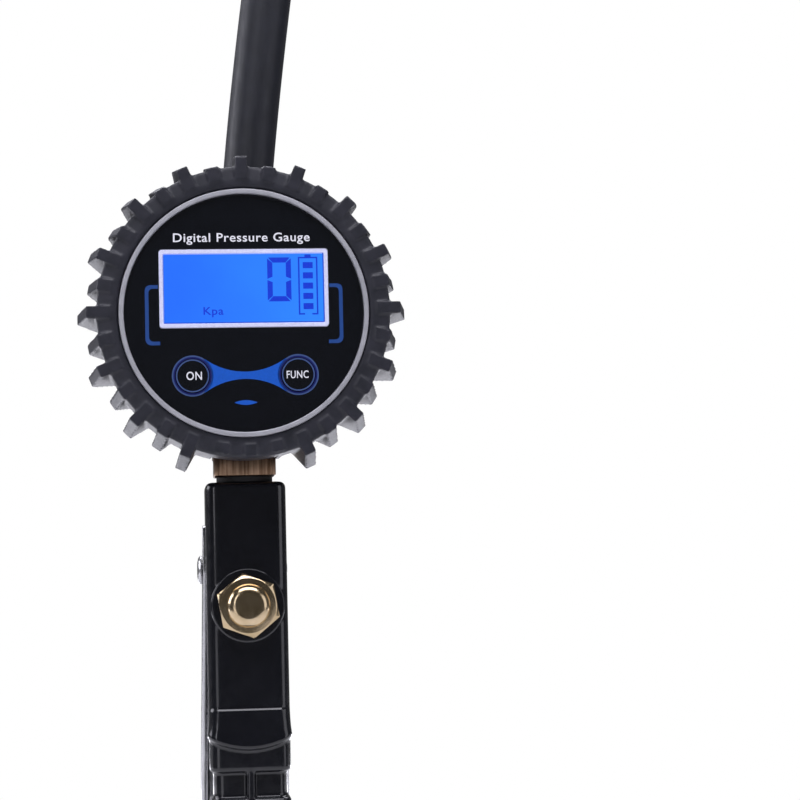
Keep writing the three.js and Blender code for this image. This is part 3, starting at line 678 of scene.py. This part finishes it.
def bow():
    """The blue figure between the keys: two arcs tangent to both key rings."""
    ring, waist, inset = 5.4, 0.95, 5.0
    rise = (BUTTON_X ** 2 + waist ** 2 - ring ** 2) / (2 * (ring - waist))
    lean = math.degrees(math.atan2(rise + waist, BUTTON_X))
    upper = arc((0, BUTTON_Z + rise + waist), rise, 180 + lean, 360 - lean, 24)
    right = arc((BUTTON_X, BUTTON_Z), inset, 180 - lean, 180 + lean, 16)
    half = upper + right
    return half + [(-x, 2 * BUTTON_Z - z) for x, z in half]


def lens_mark():
    """A small lens shape below the bow: two shallow arcs."""
    half, bulge, z = 3.0, 0.62, -23.5
    radius = (half ** 2 + bulge ** 2) / (2 * bulge)
    spread = math.degrees(math.asin(half / radius))
    upper = arc((0, z + bulge - radius), radius, 90 + spread, 90 - spread, 16)
    return upper + [(-x, 2 * z - zz) for x, zz in upper[1:-1]]


def key(side, name):
    """A flanged key with its caption, and the two printed rings round it on the dial."""
    low, high = corners(name)
    back = high.y - 0.05  # the pressed key just clears its switch
    flange, flange_y = BUTTON_RADIUS + 0.9, high.y - 0.6
    profile = soften(
        [(0, low.y), (BUTTON_RADIUS - 0.1, low.y), (BUTTON_RADIUS, low.y + 0.35), (BUTTON_RADIUS, flange_y),
         (flange, flange_y), (flange, back), (0, back)],
        0.12,
    )
    shape = turned(profile, "y", (side * BUTTON_X, 0, DIAL_Z + BUTTON_Z), 96)
    piece(name + "_cap", [shape], "gloss", name, name)
    centre = (side * BUTTON_X, BUTTON_Z)
    annulus(name + "_ring", centre, BUTTON_RADIUS - 0.12, 0.34, "ring_ink", low.y, name)
    words, size, shift = ("ON", (4.0, 2.2), 0.4) if side < 0 else ("FUNC", (5.7, 2.0), -0.2)
    lettering(name + "_caption", words, (centre[0] + shift, BUTTON_Z), size, "white_ink", low.y, name)
    annulus(name + "_outer_ring", centre, KEY_RING, 0.42, "ring_ink", PANEL_Y)
    annulus(name + "_gap_ring", centre, KEY_RING - 0.4, 0.43, "navy_ink", PANEL_Y - PRINT)


def nought(x0, x1, z0, z1, thick, gap):
    """The six lit bars of a seven-segment nought, mitred where they meet."""
    middle = (z0 + z1) / 2
    centre = (x0 + x1) / 2
    across = [(x0 + 1.5 * gap, z1), (x1 - 1.5 * gap, z1), (x1 - thick - 0.5 * gap, z1 - thick),
              (x0 + thick + 0.5 * gap, z1 - thick)]
    down = [(x0, z1 - 1.5 * gap), (x0 + thick, z1 - thick - 0.5 * gap),
            (x0 + thick, middle + gap + 0.4 * thick), (x0, middle + gap)]
    bars = []
    for flip_x, flip_z in ((1, 1), (1, -1), (-1, 1), (-1, -1)):
        shapes = [down] if flip_x < 0 else [down, across]
        for shape in shapes:
            bars.append([(centre + flip_x * (x - centre), middle + flip_z * (z - middle)) for x, z in shape])
    return bars


def display_marks():
    """The digit 0, a battery gauge, the unit and the frame's shade, on the display glass."""
    x0, x1, z0, z1, line = 14.2, 19.3, -0.7, 14.5, 0.38
    middle_x = (x0 + x1) / 2

    def bar(a, b, c, d):
        return [(a, c), (b, c), (b, d), (a, d)]

    battery = [
        bar(x0, x1, z1 - line, z1), bar(x0, x0 + line, z0, z1 - line), bar(x1 - line, x1, z0, z1 - line),
        bar(x0 + line, x0 + 1.6, z0, z0 + line), bar(x1 - 1.6, x1 - line, z0, z0 + line),
        bar(middle_x - 0.8, middle_x + 0.8, z1, z1 + 0.6),
    ]
    for i in range(5):
        centre = z1 - 2.2 - 2.7 * i
        battery.append(bar(middle_x - 1.3, middle_x + 1.3, centre - 0.8, centre + 0.8))
    right = LCD_HIGH.x - LCD_BORDER
    low, high = LCD_LOW.z + LCD_BORDER - DIAL_Z, LCD_HIGH.z - LCD_BORDER - DIAL_Z
    shade = [bar(-right, right, low, low + 0.3), bar(right - 0.3, right, low + 0.3, high)]
    glass_y = corners("lcd_glass")[0].y
    digit = nought(6.15, 12.35, 2.85, 14.4, 1.35, 0.16)
    marks("display_digit", digit, "digit", glass_y)
    marks("display_battery", battery, "digit", glass_y)
    marks("display_shade", shade, "shade", glass_y)
    lettering("display_unit", "Kpa", (-8.0, 0.2), (5.2, 2.7), "digit", glass_y, weight=0.012)


def dial_marks():
    """The generic title, the brackets beside the display and the blue figures between the keys."""
    lettering("dial_title", "Digital Pressure Gauge", (-0.4, 19.4), (35.6, 3.05), "white_ink", PANEL_Y)
    marks("dial_brackets", [bracket(-1), bracket(1)], "dim_blue_ink", PANEL_Y)
    marks("dial_bow", [bow()], "blue_ink", PANEL_Y)
    marks("dial_lens", [lens_mark()], "blue_ink", PANEL_Y)


def shank():
    """Square brass block with milled corners, a plain neck above and a stub below."""
    half, chamfer = SHANK_HIGH.x, 1.5
    outline = []
    for quarter in range(4):
        c, s = round(math.cos(quarter * TURN / 4)), round(math.sin(quarter * TURN / 4))
        for x, y in ((half, chamfer - half), (half, half - chamfer)):
            outline.append((x * c - y * s, x * s + y * c + SHANK_Y))
    block_low, block_high = SHANK_BLOCK
    made = mesh_object("shank", [prism(outline, block_low, block_high)])
    bevelled(made, 0.35, 3)
    bake_modifiers(made)
    bore, sunk = 1.5, 0.5
    neck = tube(bore, 5, block_high - sunk, SHANK_HIGH.z, "z", (0, SHANK_Y, 0))
    stub = tube(bore, 4.8, SHANK_LOW.z, block_low + sunk, "z", (0, SHANK_Y, 0))
    finish(made, "dark_brass", replaces="gauge_shank")
    piece("shank_neck", [neck], "dark_brass", bevel=0.2)
    piece("shank_stub", [stub], "dark_brass", bevel=0.2)


def shank_seal():
    """A rubber washer squeezed between the shank's block and the handle."""
    gap = 0.03
    bottom, top = HANDLE_HIGH.z + gap, SHANK_BLOCK[0] - gap
    inner, outer = 5.1, corners("shank_seal")[1].x + 0.2
    profile = soften([(inner, bottom), (outer, bottom), (outer, top), (inner, top)], 0.35, loop=True)
    shape = turned(profile, "z", (0, SHANK_Y, 0), 64, loop=True)
    piece("shank_washer", [shape], "seal", replaces="shank_seal")


# ---- Handle ----

def lip():
    """The flared collar over the grip: its lower edge is rounded and bows down in the middle."""
    top, ends, sag, nose = DIAL_Z - 103.5, DIAL_Z - 110.2, 2.7, 1.1
    levels = []
    for i in range(9):
        t = i / 8
        levels.append((0.15 * t + 0.3 * t ** 3, 0.5 + 0.7 * t ** 2, t, 0))
    for i in range(1, 6):
        angle = math.pi / 2 * i / 5
        inset = nose * (1 - math.cos(angle))
        levels.append((0.45 - inset, 1.2 - inset, 1, nose * math.sin(angle)))
    sections = []
    for flare, out, t, drop in levels:
        plan = rounded_box(-FRONT_HALF - flare, FRONT_HALF + flare, HANDLE_FRONT - out, STEP_Y - 0.3,
                           HANDLE_CORNERS)
        section = []
        for x, y in split(plan, 6):
            depth = min(max((STEP_Y - 4 - y) / 8, 0), 1)
            bow = sag * (1 - min(1, (x / FRONT_HALF) ** 2)) * depth
            section.append((x, y, top + (ends - bow - top) * t - drop))
        sections.append(section)
    return loft(sections)


def handle_blocks():
    """The overlapping shapes of the casting, from the front band and grip to the head behind."""
    low, high = HANDLE_LOW.z, HANDLE_HIGH.z
    core, rib, head = FRONT_HALF - 0.9, 1.1, 9.5

    def grip(bottom, top, ends):
        return soft_block(-FRONT_HALF, FRONT_HALF, HANDLE_FRONT, STEP_Y, HANDLE_CORNERS, bottom, top, ends)

    land = soften([(0, HANDLE_FRONT - 0.1), (9.6, HANDLE_FRONT - 0.1), (9.6, -8), (0, -8)], 0.3)
    head_end = soften([(0, HEAD_LOW), (head, HEAD_LOW), (head, high), (0, high)], 1.2)
    shapes = [
        grip(GRIP_TOP, high, (1, 1.6)),
        lip(),
        soft_block(-core, core, HANDLE_FRONT + 2.1, STEP_Y, HANDLE_CORNERS, low, GRIP_TOP + 3, (0, 0)),
        soft_block(-REAR_HALF, REAR_HALF, STEP_Y - 4, HANDLE_BACK, [0.4, 0.4, 2.5, 2.5], low, high, (1, 1.2)),
        soft_block(-rib, rib, HANDLE_FRONT + 0.1, HANDLE_FRONT + 4, [0.8, 0.8, 0.3, 0.3], low + 1,
                   GRIP_TOP + 2, (0, 0)),
        turned(land, "y", VALVE, 96),
        turned(head_end, "z", (0, HOSE_Y, 0), 96),
        soft_block(-head, head, STEP_Y, HOSE_Y, [0.4] * 4, HEAD_LOW, high, (1, 1.2)),
    ]
    for i in range(4):
        top = GRIP_TOP - GRIP_RECESS - i * GRIP_PITCH
        bottom = top - (GRIP_PITCH - GRIP_RECESS) if i < 3 else low
        shapes.append(grip(bottom, top, (1, 1)))
    return shapes


def handle_body():
    """The casting with its valve chamber, air ways, ports and pivot hole."""
    made = fused("handle_casting", handle_blocks(), 0.3, 6)
    low, high = HANDLE_LOW.z, HANDLE_HIGH.z
    far, port = 30, 5.15
    steps = (6.3, -7.5), (5, -2), (3.2, 4), (1.65, far)  # radius, and how far back it reaches
    valve_chamber = [rod(radius, -far, back, "y", VALVE) for radius, back in steps]
    air_ways = [rod(6.2, 0, low + 13), rod(2.2, low + 11, VALVE_Z - 3, "z", (0, -4.5, 0)),
                rod(1.5, VALVE_Z + 2, high - 8, "z", (0, 0.5, 0))]
    ports = [rod(port, high - 9, high + 5, "z", (0, SHANK_Y, 0)),
             rod(port, high - 8.3, high + 5, "z", (0, HOSE_Y, 0)),
             rod(1.3, SHANK_Y, HOSE_Y, "y", (0, 0, high - 7.6))]
    carve(made, valve_chamber + air_ways + ports + [rod(PIN_BORE, -far, far, "x", PIVOT)])
    finish(made, "paint", replaces="handle_body", smooth=50)


def valve_boss():
    """A low round land under the hex plug, with a rounded rim."""
    face, inner, outer = HANDLE_FRONT - 0.6, 6.4, 9.8
    profile = soften([(inner, face + 2), (inner, face), (outer, face), (outer, face + 2)], 0.6, loop=True)
    shape = turned(profile, "y", VALVE, 128, loop=True)
    piece("valve_boss", [shape], "paint")


def valve_plug():
    """Hex plug with a chamfered rim and a raised round crown."""
    turn = 90 + 9.4
    back, face = HANDLE_FRONT - 1.3, PLUG_FACE
    made = mesh_object("hex_plug", [prism(hexagon(15, turn), face, back, "y", VALVE)])
    inner, outer, past = 7.15, 9.4, 20
    cone = [(inner, face), (outer, face + 1.35), (outer, back + 0.5), (past, back + 0.5), (past, face - 1),
            (inner, face - 1)]
    carve(made, [turned(cone, "y", VALVE, 128, loop=True)])
    bevelled(made, 0.15, 2, 25)
    bake_modifiers(made)
    finish(made, "brass", replaces="valve_plug", smooth=30)
    top, rounding = face - 2, 2.7
    crown = [(0, top + rounding)] + arc((3.1, top + rounding), rounding, 0, -90, 24) + [(0, top)]
    piece("plug_crown", [turned(crown, "y", VALVE, 128)], "brass", smooth=60)
    stub = tube(4.2, 6, back - 0.2, PLUG_BACK, "y", VALVE, 64)
    piece("plug_stub", [stub], "brass", bevel=0.2)


def valve_spring():
    """A four-turn coil in place of the valve spring, hung on the handle with a mesh of its own."""
    rear, length, wire = -6.1, 6.6, 0.35
    stand = Matrix.Translation((0, rear, VALVE_Z)) @ Matrix.Rotation(TURN / 4, 4, "X")
    spring = moved(coil(3.2, wire, 4, length), stand)
    made = piece("return_spring", [spring], "steel", replaces="valve_spring")
    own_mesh(made)


def lever():
    """Pressed channel whose left flange splays a little: a grid round a U, thickened, then swung to rest.

    Seen from above, the U's web lies behind the pivot and its flanges reach forward from there.
    """
    outer, web, front, bend = 11.3, 5.9, -4.1, 2.2
    sheet, splay, round_end = 1.3, 1.5, 7
    length = (corners("lever")[1].y - PIVOT.y - web * math.cos(SQUEEZE)) / math.sin(SQUEEZE)
    flange = [(outer, front + (web - bend - front) * i / 10) for i in range(10)]
    corner = [(outer - bend + x, web - bend + y) for x, y in arc((0, 0), bend, 0, 90, 6)]
    flat = [((outer - bend) * (1 - i / 8), web) for i in range(1, 8)]
    right = flange + corner + flat
    columns = right + [(0, web)] + [(-x, y) for x, y in right[::-1]]
    rows = 60
    verts, faces = [], []
    for x, y in columns:
        depth = (y - front) / (web - front)
        rise = 1 + 11 * math.sin(math.pi / 2 * min(depth / 0.45, 1))
        high = rise - 6 * max(0, (depth - 0.6) / 0.4) ** 2
        inwards = max(0, abs(x) - outer + round_end) / round_end
        end = round_end * (1 - math.sqrt(max(0, 1 - inwards ** 2)))
        low = -length + end + (19 * (1 - depth) if depth < 1 else 0)
        for i in range(rows + 1):
            z = low + (high - low) * i / rows
            flare = splay * min(max((8 - z) / 75, 0), 1) if x < 0 else 0
            verts.append((x * (1 + flare / outer), y, z))
    for c in range(len(columns) - 1):
        for i in range(rows):
            a, b = c * (rows + 1) + i, (c + 1) * (rows + 1) + i
            faces.append([a, b, b + 1, a + 1])
    swing = Matrix.Translation(PIVOT) @ Matrix.Rotation(SQUEEZE, 4, "X")
    made = mesh_object("squeeze_lever", [moved((verts, faces), swing)])
    thick = made.modifiers.new("sheet", "SOLIDIFY")
    thick.thickness = sheet * MM
    thick.offset = -1
    thick.use_even_offset = True
    bevelled(made, 0.55, 4, 50, False)
    bake_modifiers(made)
    carve(made, [rod(PIN_BORE, -30, 30, "x", PIVOT)])
    finish(made, "chrome", "lever", "lever", 40)


def lever_pin():
    """A plain pin with a low domed head on its left end."""
    end = PIN_HIGH.x
    profile = [(0, end), (1.6, end), (1.95, end - 0.3), (1.95, -end), (3.9, -end), (4, -end - 0.35),
               (3.4, -end - 0.95), (2, -end - 1.25), (0, -end - 1.3)]
    piece("pivot_pin", [turned(soften(profile, 0.2), "x", PIVOT, 64)], "steel", replaces="lever_pin")


def inlet_plug():
    """Hex base, thread and a quick-coupling nipple with its locking groove."""
    bore, hex_low, hex_high = 2.1, HANDLE_LOW.z - 6.8, HANDLE_LOW.z - 0.3
    made = mesh_object("inlet_hex", [prism(hexagon(15), hex_low, hex_high)])
    inner, outer, past = 7.5, 9.2, 20
    for edge, inwards in ((hex_low, 1), (hex_high, -1)):
        cone = [(inner, edge), (outer, edge + inwards), (past, edge + inwards), (past, edge - inwards),
                (inner, edge - inwards)]
        carve(made, [turned(cone, loop=True)])
    carve(made, [rod(bore, 0, 60)])
    bevelled(made, 0.12, 2, 25)
    finish(made, "steel", replaces="inlet_plug", smooth=30)
    nipple = [
        (bore, 0.4), (2.5, 0), (3.9, 0), (4.4, 0.5), (4.4, 3), (2.95, 4.6), (2.95, 8.4), (3.9, 9.2),
        (5.9, 11), (5.9, 17), (4.8, 18), (4.8, hex_low + 0.2), (bore, hex_low + 0.2),
    ]
    piece("inlet_nipple", [turned(soften(nipple, 0.35, loop=True), loop=True)], "steel")
    thread = [(bore, hex_high - 0.2), (5.2, hex_high - 0.2)]
    for i in range(9):
        z = hex_high + 0.4 + i
        thread += [(5.4, z), (5.9, z + 0.5)]
    thread += [(5.3, NIPPLE_TOP), (bore, NIPPLE_TOP)]
    piece("inlet_thread", [turned(thread, loop=True)], "steel")


# ---- Hose and chuck ----

def hose_point(height):
    """The hose's centre at a height from the dial's: a cubic, upright at the port, leaning at the chuck."""
    span = HOSE_HIGH - HOSE_BEND_START
    along = max(height - HOSE_BEND_START, 0) / span
    swing = HOSE_REACH * along ** 2 * (3 - 2 * along)
    lean = span * math.tan(HOSE_TILT) * along ** 2 * (along - 1)
    return swing + lean, HOSE_Y, DIAL_Z + height


CHUCK = Matrix.Translation(hose_point(HOSE_HIGH)) @ Matrix.Rotation(HOSE_TILT, 4, "Y")


def hose():
    def path(past):
        low, high, steps = HOSE_LOW - past, HOSE_HIGH + past, 90
        return [hose_point(low + (high - low) * i / steps) for i in range(steps + 1)]

    made = mesh_object("air_hose", [swept(path(0), circle((0, 0), HOSE_RADIUS, 64))])
    carve(made, [swept(path(2), circle((0, 0), HOSE_BORE, 48))])
    finish(made, "hose", replaces="hose")


def ferrule_profile(length):
    """A crimped sleeve: smooth rims and five pressed grooves."""
    outer, inner, groove, count = 8.1, 7.25, 0.35, 5
    pitch = (length - 4) / count
    points = [(inner, 0), (outer, 0), (outer, 1.6)]
    for i in range(count):
        z = 2.2 + i * pitch
        points += [(outer - groove, z), (outer - groove, z + 0.7), (outer, z + 1.2), (outer, z + pitch - 0.5)]
    points += [(outer, length), (inner, length)]
    return soften(points, 0.25, loop=True, steps=3)


def ferrules():
    low, high = corners("hose_ferrule")
    length = high.z - low.z
    lower = turned(ferrule_profile(length), "z", (0, HOSE_Y, low.z), loop=True)
    piece("lower_ferrule", [lower], "steel", replaces="hose_ferrule")
    upper = moved(turned(ferrule_profile(length), "z", (0, 0, -length - 0.5), loop=True), CHUCK)
    piece("upper_ferrule", [upper], "steel", replaces="chuck_ferrule")


def hose_fitting():
    """A hexagon with a plain stub in the handle's port and a barb inside the hose."""
    low, high = corners("hose_fitting")
    foot = (0, HOSE_Y, 0)
    bore, neck, ridge = 1.6, 3.3, 3.9
    hex_low, hex_high, sunk = HANDLE_HIGH.z + 0.3, DIAL_Z + HOSE_LOW - 0.3, 0.2
    made = mesh_object("fitting_hex", [prism(hexagon(13, 30), hex_low, hex_high, "z", foot)])
    carve(made, [rod(bore, 0, 300, "z", foot, 32)])
    bevelled(made, 0.3, 2, 25)
    finish(made, "brass", replaces="hose_fitting", smooth=30)
    stub = tube(bore, 4.8, low.z, hex_low + sunk, "z", foot)
    piece("fitting_stub", [stub], "brass", bevel=0.2)
    barb = [(bore, hex_high - sunk), (neck, hex_high - sunk)]
    for i in range(4):
        z = hex_high + 1 + i * 3.6
        barb += [(neck, z), (ridge, z + 0.3), (neck, z + 3.2)]
    barb += [(neck, high.z), (bore, high.z)]
    piece("fitting_barb", [turned(barb, "z", foot, 48, loop=True)], "brass")


def chuck_body():
    """Turned body with a grooved grip, a deep mouth, two ears for the clip's pin and a slot for its hook."""
    length, head_low, head, mouth, mouth_low = 42, 15, 8.6, 4.7, 26
    profile = [(1.6, -12), (3.9, -12), (3.9, 0.2), (7.4, 0.3), (7.4, 7), (6, 8.5), (6, head_low - 1),
               (head - 0.6, head_low - 0.4)]
    grip, groove, pitch, count = head_low + 0.4, head - 0.35, 2.2, 5
    for i in range(count):
        z = grip + i * pitch
        profile += [(head, z), (head, z + 0.9), (groove, z + 1.2), (groove, z + 1.7)]
    profile += [(head, grip + count * pitch + 0.4), (head, length - 1), (head - 0.9, length), (5.2, length),
                (mouth, length - 0.6), (mouth, mouth_low), (1.6, mouth_low)]
    body = turned(soften(profile, 0.18, loop=True, steps=2), "z", segments=128, loop=True)
    made = mesh_object("chuck_shell", [moved(body, CHUCK)])
    ear = soften([(-14, 22.8), (-5.5, 22.8), (-5.5, 29.2), (-14, 29.2)], 1.8, loop=True)
    sides = ((-5.3, -3.7), (3.7, 5.3))
    carve(made, [moved(prism(ear, x0, x1, "x"), CHUCK) for x0, x1 in sides], "UNION")
    hook_slot = moved(block(-3.5, 3.5, -12, -3, 31.4, 38), CHUCK)
    mouth_bore = moved(rod(mouth, mouth_low + 0.01, 60, segments=128), CHUCK)
    carve(made, [hook_slot, clip_pin_hole(), mouth_bore])
    finish(made, "chrome", replaces="chuck_body")


def clip_pin_hole():
    return moved(rod(CLIP_BORE, -20, 20, "x", (0, CLIP_Y, CLIP_Z), 32), CHUCK)


def chuck_clip():
    """A bent plate, drawn from its pin: its hook reaches into the chuck, its tail is the thumb's."""
    hook, half = 7.2, 3.2
    outline = soften(
        [(-1.9, -2), (-1.9, 8.5), (0.4, 10.6), (hook, 10.6), (hook, 9.3), (1.2, 9.3), (1.7, 2),
         (1.7, -1.6), (-1.2, -17), (-3.6, -23), (-5.2, -22.4), (-3, -16.5)],
        0.9, loop=True,
    )
    plate = prism(outline, -half, half, "x", (0, CLIP_Y, CLIP_Z))
    made = mesh_object("thumb_clip", [moved(plate, CHUCK)])
    carve(made, [clip_pin_hole()])
    bevelled(made, 0.3, 2, 50)
    finish(made, "steel", "chuck_clip", "chuck_clip", 40)


def chuck_small_parts():
    """The clip's pin, the rubber in the chuck's mouth and the spring under the clip's tail."""
    end, radius, chamfer = 5.6, 1.2, 0.2
    pin = [(0, -end), (radius - chamfer, -end), (radius, chamfer - end), (radius, end - chamfer),
           (radius - chamfer, end), (0, end)]
    bar = moved(turned(pin, "x", (0, CLIP_Y, CLIP_Z), 32), CHUCK)
    piece("clip_pin", [bar], "steel", replaces="chuck_pin")
    seal = soften([(2, 28.4), (4.4, 28.4), (4.4, 32), (2.6, 32), (2, 31.2)], 0.3, loop=True)
    rubber = moved(turned(seal, "z", segments=48, loop=True), CHUCK)
    piece("mouth_seal", [rubber], "seal", replaces="chuck_seal")
    seat = Vector((0, -6.4, 11.4))
    stand = CHUCK @ Matrix.Translation(seat) @ Matrix.Rotation(TURN / 4, 4, "X")
    spring = moved(coil(1.7, 0.3, 4, 4.6), stand)
    made = piece("clip_spring", [spring], "steel", replaces="chuck_spring")
    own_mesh(made)


# ---- CAD nodes that keep their own shape ----

KEPT = {
    "steel": ["board_screw_left", "board_screw_right", "door_screw", "battery_spring_lower",
              "battery_spring_upper", "contact_bridge", "contact_positive", "contact_negative",
              "pressure_sensor"],
    "plastic": ["on_switch", "func_switch", "gauge_case", "battery_door", "sensor_cable"],
    "brass": ["valve_stem", "inlet_filter", "core_depressor"],
    "seal": ["valve_seal", "stem_o_ring"],
    "cell": ["battery_lower", "battery_upper"],
    "board": ["circuit_board"],
    "diffuser": ["backlight_diffuser"],
}


def dress_kept_nodes():
    for material, nodes in KEPT.items():
        for node in nodes:
            slots = frame["nodes"][node].data.materials
            slots.clear()
            slots.append(MATERIALS[material])


# ---- Stage, light and camera ----

def stage():
    """A pale round floor just under the part."""
    floor = mesh_object("floor", [rod(480, -4, -1.5, segments=96)])
    nodes = Nodes("pale_floor")
    nodes.link(nodes.blend(nodes.ranged(nodes.noise(8, 3), 0, 1), (0.8, 0.8, 0.8), (0.84, 0.84, 0.84)),
               nodes.shader.inputs["Base Color"])
    nodes.set(Roughness=0.8)
    floor.data.materials.append(nodes.material)


def world():
    """White to the camera; to light and reflections dark in front of the tool and a little paler behind."""
    made = bpy.data.worlds.new("studio")
    bpy.context.scene.world = made
    made.use_nodes = True
    tree = made.node_tree
    tree.nodes.clear()
    add, link = tree.nodes.new, tree.links.new
    direction = add("ShaderNodeSeparateXYZ")
    link(add("ShaderNodeTexCoord").outputs["Generated"], direction.inputs[0])
    shade = add("ShaderNodeMapRange")
    shade.interpolation_type = "SMOOTHSTEP"
    for name, number in (("From Min", -0.1), ("From Max", 0.7), ("To Min", 0.07), ("To Max", 0.12)):
        shade.inputs[name].default_value = number
    link(direction.outputs["Y"], shade.inputs["Value"])
    ambient = add("ShaderNodeBackground")
    link(shade.outputs["Result"], ambient.inputs["Strength"])
    seen = add("ShaderNodeBackground")
    for node in (ambient, seen):
        node.inputs["Color"].default_value = (1, 1, 1, 1)
    mix = add("ShaderNodeMixShader")
    link(add("ShaderNodeLightPath").outputs["Is Camera Ray"], mix.inputs[0])
    link(ambient.outputs[0], mix.inputs[1])
    link(seen.outputs[0], mix.inputs[2])
    link(mix.outputs[0], add("ShaderNodeOutputWorld").inputs[0])


def softbox(name, at, size, power):
    """A rectangular lamp at a place in millimetres, turned to the middle of the tool."""
    lamp = bpy.data.lights.new(name, "AREA")
    lamp.shape = "RECTANGLE"
    lamp.size, lamp.size_y = size[0] * MM, size[1] * MM
    lamp.energy = power
    lamp.color = (0.92, 0.92, 1)
    made = linked(name, lamp)
    made.location = Vector(at) * MM
    aim = Vector((0, 0, DIAL_Z - 40)) * MM - made.location
    made.rotation_euler = aim.to_track_quat("-Z", "Y").to_euler()
    made.visible_camera = False


def lights():
    """The weak lamps in front draw the handle's edges; the rest is soft light from the sides and behind."""
    for name, at, size, power in (
        ("right_box", (620, -420, 300), (420, 500), 0.8),
        ("low_right_strip", (620, -420, -60), (150, 260), 0.15),
        ("left_strip", (-330, -640, 330), (100, 360), 0.4),
        ("low_left_panel", (-330, -640, 20), (280, 170), 0.19),
        ("left_box", (-700, 100, 430), (500, 420), 2.6),
        ("low_left_box", (-700, 250, -70), (500, 160), 0.7),
        ("low_right_box", (700, 250, -70), (500, 160), 0.5),
        ("low_back_box", (0, 1000, -110), (1600, 180), 6),
        ("top_box", (0, -300, 720), (700, 350), 4),
        ("back_box", (0, 420, 700), (900, 300), 5),
    ):
        softbox(name, at, size, power)


def camera():
    data = bpy.data.cameras.new("camera")
    data.sensor_width = 36
    data.lens = CAMERA["lens"]
    made = linked("camera", data)
    angles = Euler((math.pi / 2 + math.radians(CAMERA["pitch"]), 0, -math.radians(CAMERA["yaw"])))
    made.matrix_world = (
        Matrix.Translation(Vector(CAMERA["at"]) * MM)
        @ angles.to_matrix().to_4x4()
        @ Matrix.Rotation(math.radians(CAMERA["roll"]), 4, "Z")
    )
    bpy.context.scene.camera = made


boot()
bezel()
dial_panel()
lcd_frame()
lcd_glass()
dial_marks()
display_marks()
key(-1, "on_button")
key(1, "func_button")
shank()
shank_seal()
handle_body()
valve_boss()
valve_plug()
valve_spring()
lever()
lever_pin()
inlet_plug()
hose()
ferrules()
hose_fitting()
chuck_body()
chuck_clip()
chuck_small_parts()
dress_kept_nodes()
stage()
world()
lights()
camera()
bpy.context.scene.view_settings.view_transform = "Standard"
